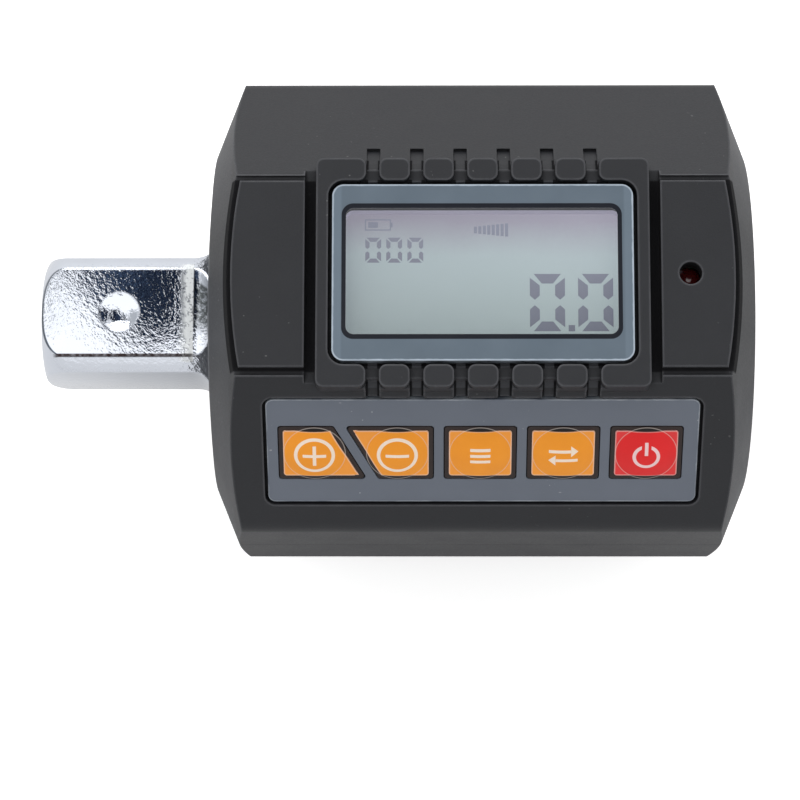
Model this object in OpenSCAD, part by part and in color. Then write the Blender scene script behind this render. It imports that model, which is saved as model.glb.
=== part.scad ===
// Digital torque adapter: an eight-sided housing on a square drive shaft, with a display,
// five push keys and two battery cells behind a sliding door.
// It lies on its back: the display looks up, the square drive points to the left.

/* [Housing] */
// Length of the housing along the drive axis
housing_l = 58.2; // [57.4:0.2:62.4]
// Width across the flats of the eight-sided housing
flats_w = 49; // [48.6:0.2:52]
// Rounding of the long edges between the flats
corner_r = 2.5; // [1.5:0.1:3]
// Wall thickness of the two shells
wall = 2.2; // [2:0.1:2.4]
// Radius at which the crowned end face turns into the end bevel
end_face_r = 18.6; // [17:0.2:19.4]
// How far the crowned end face falls from the land round the shaft to that radius
end_face_drop = 0.6; // [0.4:0.1:1.2]
// How far the end bevel falls from there to the corners of the housing
bevel_drop = 3.2; // [2.8:0.1:4]
// Height of the lip on which the two shells line up
lip_h = 1.2; // [0.8:0.1:1.6]

/* [Display] */
// Distance from each end of the raised display frame to the end of the housing
frame_space = 12; // [11.6:0.1:12.3]
// How far the display frame stands out over each side of the top flat
frame_overhang = 1.85; // [1.4:0.05:2.05]
// Height of the display frame above the top flat
frame_h = 1.0; // [0.6:0.1:1.4]
// Rounding of the corners of the display frame and of its tabs
frame_r = 0.8; // [0.5:0.1:1]
// Width of the frame's border at each end of the display lens
frame_end_w = 1.65; // [1.4:0.05:2.1]
// Width of the frame's border along each long side of the display lens
frame_side_w = 2.75; // [2.5:0.05:3]
// Thickness of the display lens
lens_t = 1.4; // [1:0.1:1.6]
// Corner radius of the display lens
lens_r = 1.2; // [0.6:0.1:2]
// Open gap round the display lens
lens_gap = 0.42; // [0.2:0.02:0.5]
// Width of the ledge under each end of the lens
ledge_end_w = 1.35; // [1.15:0.05:2.4]
// Width of the ledge under each long side of the lens
ledge_side_w = 2.4; // [2.1:0.05:3.2]
// Distance from the middle of the first slot to the end of the display frame
slot_end = 5.8; // [5.3:0.1:6.6]
// Width of each slot in the display frame
slot_w = 1.4; // [0.8:0.1:1.5]
// Number of slots along each long side of the frame
slot_count = 6; // [2:1:6]
// How far each slot runs on over the sloping flat
slot_tail = 2.4; // [1:0.1:3]

/* [Ears] */
// Width of the sunk channel between the frame and each ear
channel_w = 1.2; // [0.8:0.1:1.6]
// Depth of that channel
channel_d = 1.1; // [0.6:0.1:1.3]
// Distance from each end of an ear to the edge of the top flat
ear_side_gap = 0.35; // [0.1:0.05:1.2]
// Distance from the crown of the ear's outer edge to the end of the housing
ear_end_gap = 3.2; // [3:0.1:4.1]
// Radius of the curved outer edge of the ear
ear_edge_r = 54; // [40:1:70]
// Width of the groove round the outside of the ear
ear_groove_w = 0.7; // [0.4:0.1:0.9]
// Depth of that groove
ear_groove_d = 0.6; // [0.3:0.1:0.9]
// Height of the ear above the top flat
ear_h = 0.3; // [0.1:0.1:0.5]
// Diameter of the hole over the alarm lamp
lamp_hole_d = 2.35; // [2:0.05:2.8]
// Place of the alarm lamp as a share of the way from the ear's straight edge to its crown
lamp_share = 0.395; // [0.3:0.005:0.44]

/* [Keys] */
// Distance from each end of the key panel to the end of the housing
panel_end_gap = 6.75; // [6.1:0.05:7]
// Height of the key panel up the sloping flat
panel_h = 12.9; // [12:0.1:13.4]
// Thickness of the key panel
panel_t = 0.7; // [0.5:0.05:0.8]
// Corner radius of the key panel
panel_r = 0.8; // [0.4:0.1:1.2]
// How far the face of the key panel lies below the sloping flat
panel_sink = 0.2; // [0.1:0.05:0.3]
// Open gap round the key panel
panel_gap = 0.35; // [0.15:0.05:0.4]
// Width of the panel beyond the room of the first key and of the last one
panel_border = 0.85; // [0.75:0.05:1.2]
// Space between the raised pads of neighbouring keys
key_space = 2.1; // [1.9:0.05:2.4]
// Height of the raised pad up the sloping flat
key_h = 5.65; // [5.2:0.05:6]
// Width of the flat rim round each raised pad
key_rim = 0.45; // [0.3:0.05:0.5]
// How far the slanting ends of the first two keys run sideways
key_slant = 2.9; // [1.5:0.1:3.2]
// Gap between a key and the key panel
key_gap = 0.1; // [0.06:0.01:0.14]
// Diameter of the embossed dome on each key
dome_d = 6.4; // [5:0.1:6.6]
// Height of the dome above the pad
dome_h = 0.6; // [0.3:0.05:0.9]
// How far a key travels when it is pressed
key_travel = 0.4; // [0.2:0.05:0.4]

/* [Drive shaft] */
// Side of the square drive, a half inch
square_w = 12.7; // [12.66:0.01:12.73]
// Diameter of the shaft across the corners of the square
shaft_d = 16; // [15.6:0.1:16.4]
// How far the square drive stands out of the housing
drive_out = 18.5; // [16:0.1:22]
// Rounding of the tip of the square drive
tip_r = 2.7; // [1.5:0.1:3]
// Radius of the run-out at the end of the flats
runout_r = 2; // [1.8:0.1:2.4]
// Diameter of the locking dimple in the top flat of the drive
dimple_d = 4.3; // [3:0.1:5]
// Depth of the locking dimple
dimple_depth = 0.55; // [0.3:0.05:0.9]
// Distance of the dimple from the tip
dimple_x = 8.5; // [7:0.1:10]
// Side of the square socket at the other end
socket_w = 12.85; // [12.78:0.01:12.95]
// Depth of the square socket
socket_depth = 16.5; // [15:0.1:16.8]
// Diameter of the socket end of the shaft
socket_d = 22; // [21.6:0.1:22]
// Diameter of the measuring section of the shaft
measure_d = 15; // [14:0.1:15.6]
// Distance between opposite flats of the measuring section
measure_flats = 12.6; // [11:0.1:13]
// Length of the measuring flats
measure_l = 18; // [14:0.5:20]
// How much lower than the socket end the rim of the holding flange stands
flange_step = 0.5; // [0.5:0.05:1]
// Thickness of that flange
flange_t = 3; // [2:0.1:3.4]

/* [Battery] */
// Diameter of a battery cell
cell_d = 10.5; // [10:0.1:10.5]
// Distance from each end of a battery cell to the end of the housing
cell_end_gap = 6.85; // [6.8:0.05:7.35]
// Thickness of the walls of the battery box
box_wall = 1.0; // [0.8:0.1:1.1]
// Thickness of the battery door in the middle
door_t = 1.9; // [1.7:0.05:1.9]
// Running gap between the door and its rails
door_gap = 0.15; // [0.08:0.01:0.18]
// Number of coils of each battery spring
spring_coils = 4; // [3:1:4]
// Thickness of the spring wire
spring_wire = 0.5; // [0.4:0.05:0.6]

/* [Hidden] */

// Smoothness of round shapes, and the overrun of cuts
round_fn = 64;
over = 1;
// Small gap between parts that are fitted into each other
fit = 0.1;
// Gap between the drive shaft and the bores of the shells
shaft_gap = 0.12;

// Places that follow from the sizes above
side = flats_w / 2;
corner_radius = side / cos(22.5);
half_l = housing_l / 2;
flat_w = 2 * side * tan(22.5);
to_middle = drive_out / 2;
inner_side = side - wall;

// Display and ears seen from above
frame_l = housing_l - 2 * frame_space;
slot_pitch = (frame_l - 2 * slot_end) / (slot_count - 1);
frame_w = flat_w + 2 * frame_overhang;
lens_l = frame_l - 2 * frame_end_w;
lens_w = frame_w - 2 * frame_side_w;
window_l = lens_l - 2 * ledge_end_w;
window_w = lens_w - 2 * ledge_side_w;
ear_start = frame_l / 2 + channel_w;
ear_reach = half_l - ear_end_gap;
ear_w = flat_w - 2 * ear_side_gap;
lamp_x = ear_start + lamp_share * (ear_reach - ear_start);

// Display stack, measured up from the drive axis
frame_top = side + frame_h;
lens_sink_share = 0.2;
lens_top = frame_top - lens_sink_share * frame_h;
lens_floor = lens_top - lens_t;
glass_t = 2;
glass_lap = 1.4;
glass_l = window_l + 2 * glass_lap;
glass_w = window_w + 2 * glass_lap;
glass_top = inner_side - fit;
backlight_t = 1.6;
holder_wall = 1.5;
holder_side = 0.85;
holder_foot = 3.2;
strip_w = 1.5;
strip_l = glass_l - 2 * holder_wall;
strip_space = 0.7;
backlight_end = 1;
backlight_l = glass_l - 2 * backlight_end;
backlight_w = glass_w - 2 * (strip_w + 2 * fit + strip_space);
board_t = 1.2;
board_top = glass_top - glass_t - backlight_t - holder_foot;
board_end_gap = 2.9;
board_gap = 1.1;
board_l = 2 * (half_l - wall - board_end_gap);

// Key stack, measured out from the drive axis along the slope of the key flat
key_count = 5;
panel_l = housing_l - 2 * panel_end_gap;
key_pitch = (panel_l - 2 * panel_border) / key_count;
key_w = key_pitch - key_space;
panel_top = side - panel_sink;
panel_floor = panel_top - panel_t;
key_plate_t = 0.6;
pad_rise = 0.12;
key_floor = panel_top - key_plate_t - key_travel - 0.15 * key_travel;
stem_d = 3;
stem_gap = 0.2;
switch_w = 4.5;
switch_t = 1.5;
plunger_d = 2.2;
plunger_out = 0.5;
plunger_in = 0.7;
key_board_t = 1;
key_board_rim = 0.75;
key_board_l = (key_count - 1) * key_pitch + switch_w + 2 * key_board_rim;
key_board_h = panel_h - 2 * panel_border;
key_board_top = inner_side - plunger_out - switch_t - 0.5 * plunger_out;
key_row_x = -0.2;
key_row_v = -0.2;

// Shaft holding, measured from the middle of the housing
flange_d = socket_d - 2 * flange_step;
saddle_wall = 1.6;
saddle_r = flange_d / 2 + saddle_wall;
saddle_l = 8.2;
flange_inset = 5.9;
flange_x = -half_l + flange_inset;
flange_flat_step = 1;
flange_flat = flange_d - 2 * flange_flat_step;
seal_d = 0.95;
seal_groove_w = 1.3;
seal_x = half_l - wall / 2;
socket_inset = 0.2;
socket_end = half_l - socket_inset;
face_land_r = socket_d / 2 + 4 * shaft_gap;
socket_step = 0.8;
socket_body_x = socket_end - socket_depth + socket_step;
socket_cone_l = 2.5;
relief_over = 0.15;
relief_r = socket_w / 2 + relief_over;
relief_l = 0.9;
mouth_rim = 1.3;
mouth_r = socket_d / 2 - mouth_rim;
mouth_l = 1.4;
detent_d = 4.4;
detent_depth = 0.7;
detent_x = 8;
gauge_l = 9;
gauge_w = 6;
gauge_t = 0.25;

// Battery box, measured from the drive axis
door_inner = side - door_t;
cell_l = housing_l - 2 * cell_end_gap;
cell_spread = 0.35;
cell_lift = 0.45;
cell_y = cell_d / 2 + cell_spread;
cell_z = -door_inner + cell_lift + cell_d / 2;
cell_room = 0.25;
contact_t = 0.35;
contact_side = 1.25;
contact_w = cell_d - 2 * contact_side;
contact_low_share = 0.8;
contact_h = contact_w - contact_low_share * contact_side;
contact_room = 2.5;
box_half_l = cell_l / 2 + contact_room;
box_half_w = cell_y + cell_d / 2 + cell_spread + cell_room / 5;
button_d = 3.8;
button_l = 1.2;
spring_l = 2 * (box_half_l - contact_t) - cell_l;
spring_big_r = 3.2;
spring_small_r = 2;
door_half_w = box_half_w - door_gap;
tongue_out = 0.6;
tongue_t = 0.7;
tongue_rise = 0.6;
tongue_low = door_inner - tongue_rise;
riser_w = 0.9;
door_back = box_half_l + door_gap;
grip_count = 5;
grip_pitch = 2;
grip_w = 1;
grip_d = 0.4;
grip_l = 12;

// Fasteners
screw_end_gap = 6.2;
screw_side_gap = 7.6;
screw_x = half_l - screw_end_gap;
screw_y = side - screw_side_gap;
screw_d = 2.2;
screw_head_d = 4.4;
screw_head_t = 1.6;
screw_sink = 13;
screw_seat = side - screw_sink;
screw_grip = 8;
post_r = 2.4;
sleeve_r = 3.2;
board_back = screw_y - post_r - board_gap;
board_front = (key_board_top - key_board_t) * sqrt(2) - board_top - board_gap;
board_post_r = 2.2;
board_post_end = 1.6;
board_post_side = 2.4;
board_post_x = board_l / 2 - board_post_end;
board_post_ys = [board_post_side - board_front, board_back - board_post_side];
small_screw_d = 1.8;
small_head_d = 3.6;
small_head_t = 1.1;
small_grip = 3.4;
key_post_r = 1.7;
key_post_x = 1.5 * key_pitch;
key_post_side = 1.6;
key_post_v = key_board_h / 2 - key_post_side;
key_screw_d = 1.4;
key_screw_head_d = 2.8;
key_screw_head_t = 0.9;
key_pin_r = 0.8;
lead_d = 1.2;

// Shared helpers

// Places the whole object: it lies on its back flat, centred over the origin
module placed() { translate([to_middle, 0, side]) children(); }

// A flat shape drawn across the axis, Y to the right and Z up, drawn out from x0 to x1
module across(x0, x1) {
  translate([x0, 0, 0]) rotate([90, 0, 90]) linear_extrude(x1 - x0) children();
}

// A profile of radius and length turned about the drive axis
module turned() { rotate([0, 90, 0]) rotate_extrude($fn = 2 * round_fn) children(); }

// A plain disc or rod on the drive axis
module rod(r, x0, x1) {
  translate([x0, 0, 0]) rotate([0, 90, 0]) cylinder(r = r, h = x1 - x0, $fn = round_fn);
}

// Frame of the sloping key flat: X along the drive, Y up the slope, Z outwards from the axis
module on_key_flat() { rotate([45, 0, 0]) children(); }

// The upper half or the lower half of space
module upper() { translate([-2 * housing_l, -flats_w, 0]) cube([4 * housing_l, 2 * flats_w, flats_w]); }
module lower() { mirror([0, 0, 1]) upper(); }

function unit(v) = v / norm(v);
function box_points(l, w) = [[-l / 2, -w / 2], [l / 2, -w / 2], [l / 2, w / 2], [-l / 2, w / 2]];

// A convex outline whose corners are all rounded to one radius
module soft_outline(points, r) {
  n = len(points);
  turns = [for (i = [0:n - 1])
    let (a = unit(points[(i + 1) % n] - points[i]), b = unit(points[(i + n - 1) % n] - points[i]))
    [a, b, acos(a * b) / 2]];
  polygon([for (i = [0:n - 1]) for (s = [1, 0]) points[i] + turns[i][s] * r / tan(turns[i][2])]);
  for (i = [0:n - 1])
    translate(points[i] + unit(turns[i][0] + turns[i][1]) * r / sin(turns[i][2])) circle(r, $fn = round_fn);
}

// Slab with rounded corners between two heights
module slab(l, w, r, z0, z1) {
  translate([0, 0, z0]) linear_extrude(z1 - z0) soft_outline(box_points(l, w), r);
}

// Plain block centred on a point in X and Y, between two heights
module block(l, w, z0, z1) { translate([-l / 2, -w / 2, z0]) cube([l, w, z1 - z0]); }

// A thin strip along a line of points, with round bends
module strip(points, t) {
  for (i = [0:len(points) - 2]) {
    step = points[i + 1] - points[i];
    translate(points[i]) rotate(atan2(step[1], step[0])) translate([0, -t / 2]) square([norm(step), t]);
  }
  for (i = [1:len(points) - 2]) translate(points[i]) circle(t / 2, $fn = round_fn);
}

// A wire swept along a path: one many-sided ring at each point, closed at both ends.
// The aside direction is any one that the path never runs along.
function path_way(path, i) = unit(path[min(i + 1, len(path) - 1)] - path[max(i - 1, 0)]);
function wire_ring(p, way, aside, d, n) =
  let (u = unit(cross(way, aside)), v = cross(way, u))
  [for (k = [0:n - 1]) p + d / 2 * (cos(360 * k / n) * u + sin(360 * k / n) * v)];
module wire(path, aside, d, n) {
  last = len(path) - 1;
  polyhedron(
    points = [for (i = [0:last]) each wire_ring(path[i], path_way(path, i), aside, d, n)],
    faces = concat(
      [for (k = [1:n - 2]) [0, k, k + 1]],
      [for (j = [0:last - 1]) for (k = [0:n - 1]) [j * n + k, (j + 1) * n + k, j * n + (k + 1) % n]],
      [for (j = [0:last - 1]) for (k = [0:n - 1])
        [(j + 1) * n + k, (j + 1) * n + (k + 1) % n, j * n + (k + 1) % n]],
      [for (k = [1:n - 2]) [last * n, last * n + k + 1, last * n + k]]));
}

// The path with each inner corner cut to two points, for a softer bend
function soften(path) = concat([path[0]],
  [for (i = [1:len(path) - 2]) each [(path[i - 1] + 3 * path[i]) / 4, (3 * path[i] + path[i + 1]) / 4]],
  [path[len(path) - 1]]);

// Housing form

// Points of the eight-sided section at a given distance of the flats
function octagon(h) = [for (k = [0:7]) h / cos(22.5) * [cos(22.5 + 45 * k), sin(22.5 + 45 * k)]];

// Profile of one end: a flat land round the shaft, a crowned face, then a straight bevel
// out past the corners. The other end is the same, turned over.
crown_steps = 4;
crown_share = 1.3;
bevel_slope = bevel_drop / (corner_radius - end_face_r);
function end_profile(h) = concat([[0, h], [face_land_r, h]],
  [for (k = [1:crown_steps]) [face_land_r + (end_face_r - face_land_r) * k / crown_steps,
    h - end_face_drop * pow(k / crown_steps, crown_share)]],
  [[corner_radius + over, h - end_face_drop - bevel_slope * (corner_radius + over - end_face_r)]]);
function turned_over(points) = [for (i = [len(points) - 1:-1:0]) [points[i][0], -points[i][1]]];

// Solid body between the two turned ends, drawn in all round by a given amount
module body_form(inset, r) {
  intersection() {
    across(-half_l, half_l)
      if (r > 0) soft_outline(octagon(side - inset), r);
      else polygon(octagon(side - inset));
    turned() polygon(concat(end_profile(half_l - inset), turned_over(end_profile(half_l - inset))));
  }
}

// Form of the step on which the shells line up, drawn in by half the wall
module lip_form(slack) { body_form(wall / 2 + slack, 0); }

// Outline of one ear, grown by a given amount
module ear_outline(grow) {
  intersection() {
    translate([ear_start - grow, -ear_w / 2 - grow]) square([ear_reach, ear_w + 2 * grow]);
    translate([ear_reach - ear_edge_r, 0]) circle(ear_edge_r + grow, $fn = 4 * round_fn);
  }
}

// One slot through the frame's border, with the rounded corners of the tabs beside it
module slot_outline() {
  slot_l = (frame_w - lens_w) / 2 - lens_gap;
  square([slot_w, slot_l + 2 * fit], center = true);
  for (s = [-1, 1]) translate([0, s * slot_l / 2]) difference() {
    square([slot_w + 2 * frame_r, 2 * frame_r], center = true);
    for (q = [-1, 1]) translate([q * (slot_w / 2 + frame_r), -s * frame_r]) circle(frame_r, $fn = round_fn);
  }
}

// Places its children at every slot along both long sides
module at_slots() {
  for (s = [-1, 1]) for (i = [0:slot_count - 1]) mirror([0, s > 0 ? 0 : 1])
    translate([(i - (slot_count - 1) / 2) * slot_pitch, 0]) children();
}

// Half collar in each shell that carries one end of the shaft
module saddles() {
  for (s = [0, 1]) mirror([s, 0, 0]) rod(saddle_r, half_l - wall - saddle_l, half_l);
}

// Room for the shaft: bores at both ends and a pocket for the flange
module shaft_room() {
  rod(shaft_d / 2 + shaft_gap, -half_l - over, 0);
  rod(socket_d / 2 + shaft_gap, 0, half_l + over);
  across(flange_x - fit, flange_x + flange_t + fit) flange_outline(fit);
}

// Round flange with two flats that stop it turning in the housing
module flange_outline(grow) {
  intersection() {
    circle(flange_d / 2 + grow, $fn = round_fn);
    square([flange_flat + 2 * grow, flange_d + over], center = true);
  }
}

module at_housing_screws() {
  for (x = [-1, 1]) for (y = [-1, 1]) translate([x * screw_x, y * screw_y, 0]) children();
}

module at_board_screws() {
  for (x = [-1, 1]) for (y = board_post_ys) translate([x * board_post_x, y, 0]) children();
}

module at_key_screws() {
  for (x = [-1, 1]) translate([x * key_post_x + key_row_x, -key_post_v, 0]) children();
}

module at_key_pins() {
  for (x = [-1, 1]) translate([x * key_post_x + key_row_x, key_post_v, 0]) children();
}

// Front shell: display frame, ears, key recess and the posts inside
module front_shell() {
  color([0.27, 0.28, 0.3]) placed() difference() {
    union() {
      difference() {
        intersection() {
          body_form(0, corner_r);
          upper();
        }
        intersection() {
          body_form(wall, 0);
          upper();
        }
        intersection() {
          lip_form(0);
          block(2 * housing_l, 2 * flats_w, -over, lip_h + fit);
        }
        for (q = [0, 1]) mirror([q, 0, 0]) front_channels();
      }
      slab(frame_l, frame_w, frame_r, side - wall / 2 - frame_h, frame_top);
      for (q = [0, 1]) mirror([q, 0, 0]) translate([0, 0, side - wall / 2])
        linear_extrude(wall / 2 + ear_h) ear_outline(0);
      intersection() {
        body_form(wall / 2 - fit, 0);
        upper();
        union() {
          saddles();
          at_housing_screws() cylinder(r = post_r, h = side, $fn = round_fn);
          at_board_screws() translate([0, 0, board_top]) cylinder(r = board_post_r, h = side, $fn = round_fn);
          on_key_flat() key_flat_posts();
        }
      }
    }
    slab(lens_l + 2 * lens_gap, lens_w + 2 * lens_gap, lens_r + lens_gap, lens_floor, frame_top + over);
    slab(window_l, window_w, frame_r, 0, frame_top + over);
    at_slots() {
      translate([0, (frame_w + lens_w + 2 * lens_gap) / 4, side])
        linear_extrude(frame_h + over) slot_outline();
      slot_tails();
    }
    on_key_flat() key_flat_cuts();
    translate([lamp_x, 0, 0]) cylinder(d = lamp_hole_d, h = side + over, $fn = round_fn);
    shaft_room();
    at_housing_screws() translate([0, 0, -over])
      cylinder(d = screw_d + fit, h = screw_grip + 2 * over, $fn = round_fn);
    at_board_screws() translate([0, 0, board_top - over])
      cylinder(d = small_screw_d + fit, h = small_grip + 2 * over, $fn = round_fn);
  }
}

// Sunk channel beside the frame and groove round the ear, on the right-hand side
module front_channels() {
  translate([frame_l / 2, -frame_w / 2 - over, side - channel_d])
    cube([channel_w, frame_w + 2 * over, channel_d + over]);
  difference() {
    translate([0, 0, side - ear_groove_d]) linear_extrude(ear_groove_d + over) ear_outline(ear_groove_w);
    translate([0, 0, side - ear_groove_d - over]) linear_extrude(2 * over + ear_groove_d) ear_outline(0);
  }
}

// Shallow run of one slot over the sloping flat above the frame
module slot_tails() {
  difference() {
    translate([-slot_w / 2, frame_w / 2 - over, 0]) cube([slot_w, slot_tail + over, side]);
    across(-housing_l, housing_l) polygon(octagon(side - 0.25 * slot_w));
  }
}

// Posts and pins that carry the key board, inside the sloping flat
module key_flat_posts() {
  at_key_screws() translate([0, 0, key_board_top]) cylinder(r = key_post_r, h = wall + over, $fn = round_fn);
  at_key_pins() translate([0, 0, key_board_top - key_board_t])
    cylinder(r = key_pin_r, h = key_board_t + wall + over, $fn = round_fn);
}

// Recess for the key panel, pockets for the keys and holes for their stems
module key_flat_cuts() {
  slab(panel_l + 2 * panel_gap, panel_h + 2 * panel_gap, panel_r + panel_gap, panel_floor, side + over);
  for (i = [0:key_count - 1]) {
    translate([0, 0, key_floor]) linear_extrude(wall)
      soft_outline(key_points(i, key_rim + key_gap), panel_gap);
    translate([key_x(i), key_row_v, key_board_top])
      cylinder(d = stem_d + 2 * stem_gap, h = side, $fn = round_fn);
  }
  at_key_screws() translate([0, 0, key_board_top - over])
    cylinder(d = key_screw_d + fit, h = over + wall, $fn = round_fn);
}

// Back shell: battery box, screw sleeves, door opening and rails
module back_shell() {
  color([0.24, 0.24, 0.25]) placed() difference() {
    union() {
      difference() {
        intersection() {
          body_form(0, corner_r);
          lower();
        }
        intersection() {
          body_form(wall, 0);
          lower();
        }
      }
      difference() {
        intersection() {
          lip_form(fit);
          block(2 * housing_l, 2 * flats_w, -wall, lip_h);
        }
        body_form(wall, 0);
        rod(saddle_r + fit, -housing_l, housing_l);
      }
      intersection() {
        body_form(wall / 2 - fit, 0);
        lower();
        union() {
          saddles();
          battery_box();
          at_housing_screws() mirror([0, 0, 1]) cylinder(r = sleeve_r, h = side, $fn = round_fn);
        }
      }
    }
    across(-box_half_l, box_half_l) battery_room();
    door_opening();
    shaft_room();
    contact_slots();
    at_housing_screws() mirror([0, 0, 1]) {
      translate([0, 0, -over]) cylinder(d = screw_d + 4 * fit, h = side, $fn = round_fn);
      translate([0, 0, screw_seat]) cylinder(d = screw_head_d + 5 * fit, h = side, $fn = round_fn);
    }
  }
}

// Walls of the battery box: a half round roof over each cell and straight sides
module battery_box() {
  across(-box_half_l - box_wall, box_half_l + box_wall) {
    for (s = [-1, 1]) translate([s * cell_y, cell_z])
      circle(cell_d / 2 + cell_room + box_wall, $fn = round_fn);
    translate([-box_half_w - box_wall, -side]) square([2 * (box_half_w + box_wall), side + cell_z]);
  }
}

// Inside of the battery box
module battery_room() {
  for (s = [-1, 1]) translate([s * cell_y, cell_z]) circle(cell_d / 2 + cell_room, $fn = round_fn);
  translate([-box_half_w, -tongue_low]) square([2 * box_half_w, tongue_low + cell_z]);
}

// Way of the door: its plate and tongues, open towards the socket end
module door_opening() {
  across(-door_back - door_gap, housing_l) door_section(door_gap);
  across(-box_half_l, box_half_l) translate([-box_half_w, -side]) square([2 * box_half_w, side + cell_z]);
}

// Section of the door, grown all round by the running gap
module door_section(grow) {
  translate([-door_half_w - grow, -side - over])
    square([2 * (door_half_w + grow), side + over - door_inner + grow]);
  for (s = [0, 1]) mirror([s, 0]) {
    translate([door_half_w - riser_w - grow, -door_inner - over])
      square([riser_w + 2 * grow, over + door_inner - tongue_low + tongue_t + grow]);
    translate([door_half_w - riser_w - grow, -tongue_low - grow])
      square([riser_w + tongue_out + 2 * grow, tongue_t + 2 * grow]);
  }
}

// Slots in the box ends for the tabs of the contacts
module contact_slots() {
  for (s = [-1, 1]) translate([-box_half_l, s * tab_y - contact_tab_w / 2 - fit, cell_z])
    cube([contact_t + 2 * fit, contact_tab_w + 2 * fit, tab_top - cell_z + over]);
}

// Battery door: it slides out along the drive axis towards the socket end
module battery_door() {
  color([0.24, 0.24, 0.25]) placed() difference() {
    intersection() {
      body_form(0, corner_r);
      across(-door_back, housing_l) door_section(0);
    }
    for (k = [0:grip_count - 1])
      translate([box_half_l - 5 * grip_w - k * grip_pitch, -grip_l / 2, -side - over])
        cube([grip_w, grip_l, grip_d + over]);
  }
}

// Torque shaft: square drive, flange, measuring section and socket in one piece
module torque_shaft() {
  color([0.8, 0.82, 0.85]) placed() difference() {
    union() {
      turned() soft_tip();
      across(flange_x, flange_x + flange_t) flange_outline(0);
      turned() polygon([[0, flange_x], [measure_d / 2, flange_x],
        [measure_d / 2, socket_body_x - socket_cone_l], [socket_d / 2, socket_body_x],
        [socket_d / 2, socket_end], [0, socket_end]]);
    }
    for (k = [0:3]) rotate([90 * k, 0, 0]) drive_flat();
    translate([-half_l - drive_out + dimple_x, 0, square_w / 2 + dimple_sphere - dimple_depth])
      sphere(dimple_sphere, $fn = round_fn);
    for (k = [0:3]) rotate([90 * k, 0, 0])
      translate([-measure_l / 2 - measure_mid, -measure_d, measure_flats / 2])
        cube([measure_l, 2 * measure_d, measure_d]);
    seal_grooves();
    socket_cut();
  }
}

dimple_sphere = (pow(dimple_d / 2, 2) + pow(dimple_depth, 2)) / (2 * dimple_depth);
measure_mid = 3;

// Turned outline of the drive end, with its rounded tip, as far as the back of the flange
module soft_tip() {
  tip_x = -half_l - drive_out;
  tip_l = flange_x + flange_t - tip_x;
  intersection() {
    translate([0, tip_x + tip_l]) soft_outline(box_points(shaft_d, 2 * tip_l), tip_r);
    translate([0, tip_x]) square([shaft_d, tip_l]);
  }
}

// One flat of the square drive, with a concave run-out towards the housing
module drive_flat() {
  flat_end = -half_l - runout_r;
  translate([-half_l - drive_out - over, -shaft_d, square_w / 2])
    cube([flat_end + half_l + drive_out + over, 2 * shaft_d, shaft_d]);
  translate([flat_end, shaft_d, square_w / 2 + runout_r]) rotate([90, 0, 0])
    cylinder(r = runout_r, h = 2 * shaft_d, $fn = round_fn);
}

module seal_grooves() {
  for (s = [-1, 1]) turned()
    translate([seal_floor(s < 0 ? shaft_d : socket_d), s * seal_x - seal_groove_w / 2])
      square([seal_d + over, seal_groove_w]);
}

// Radius of the bottom of the groove that holds a seal ring
function seal_floor(d) = d / 2 + shaft_gap - seal_d;

// Square socket: drilled relief, four flats, chamfered mouth and detent holes
module socket_cut() {
  across(socket_end - socket_depth, socket_end + over) square(socket_w, center = true);
  rod(relief_r, socket_end - socket_depth - relief_l, socket_end + over);
  translate([socket_end - mouth_l, 0, 0]) rotate([0, 90, 0])
    cylinder(r1 = socket_w / 2, r2 = mouth_r, h = mouth_l, $fn = round_fn);
  for (k = [0:3]) rotate([90 * k, 0, 0]) translate([socket_end - detent_x, 0, 0])
    cylinder(d = detent_d, h = socket_w / 2 + detent_depth, $fn = round_fn);
}

// Rubber ring between the shaft and the housing
module seal_ring(d) {
  turned() translate([d / 2 + shaft_gap - seal_d / 2, 0]) circle(seal_d / 2 - 0.01 * seal_d, $fn = round_fn);
}

module drive_end_seal() { color([0.08, 0.08, 0.08]) placed() translate([-seal_x, 0, 0]) seal_ring(shaft_d); }

module socket_end_seal() { color([0.08, 0.08, 0.08]) placed() translate([seal_x, 0, 0]) seal_ring(socket_d); }

// Strain gauges on the upper and the lower measuring flat
module strain_gauges() {
  color([0.75, 0.55, 0.2]) placed() for (s = [0, 1]) mirror([0, 0, s])
    translate([-measure_mid, 0, 0]) block(gauge_l, gauge_w, measure_flats / 2, measure_flats / 2 + gauge_t);
}

// Flat ribbons from both gauges to the underside of the main board
ribbon_t = 0.3;
ribbon_w = 4;
ribbon_clear = 2;
module gauge_ribbon() {
  z0 = measure_flats / 2 + gauge_t + ribbon_t;
  out = measure_d / 2 + ribbon_clear;
  top = board_top - board_t - ribbon_t / 2;
  color([0.8, 0.5, 0.15]) placed() {
    across(-measure_mid - ribbon_w / 2, -measure_mid + ribbon_w / 2)
      strip([[0, z0], [0.4 * out, z0], [out, 0.75 * top], [0.9 * out, top]], ribbon_t);
    across(-measure_mid - ribbon_w / 2, -measure_mid + ribbon_w / 2)
      strip([[0, -z0], [-0.5 * out, -z0], [-out, -0.4 * out], [-out, 0.75 * top],
        [-0.9 * out, top]], ribbon_t);
  }
}

// Clear display lens
module display_lens() {
  color([0.55, 0.6, 0.65, 0.6]) placed() slab(lens_l, lens_w, lens_r, lens_floor, lens_top);
}

// Liquid crystal glass: a full lower pane and a shorter upper one
module lcd_glass() {
  color([0.65, 0.72, 0.68]) placed() union() {
    block(glass_l, glass_w, glass_top - glass_t, glass_top - glass_t / 2);
    block(glass_l, glass_w - strip_w, glass_top - glass_t / 2, glass_top);
  }
}

module lcd_backlight() {
  color([0.9, 0.92, 0.9]) placed()
    slab(backlight_l, backlight_w, frame_r, glass_top - glass_t - backlight_t, glass_top - glass_t);
}

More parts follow.
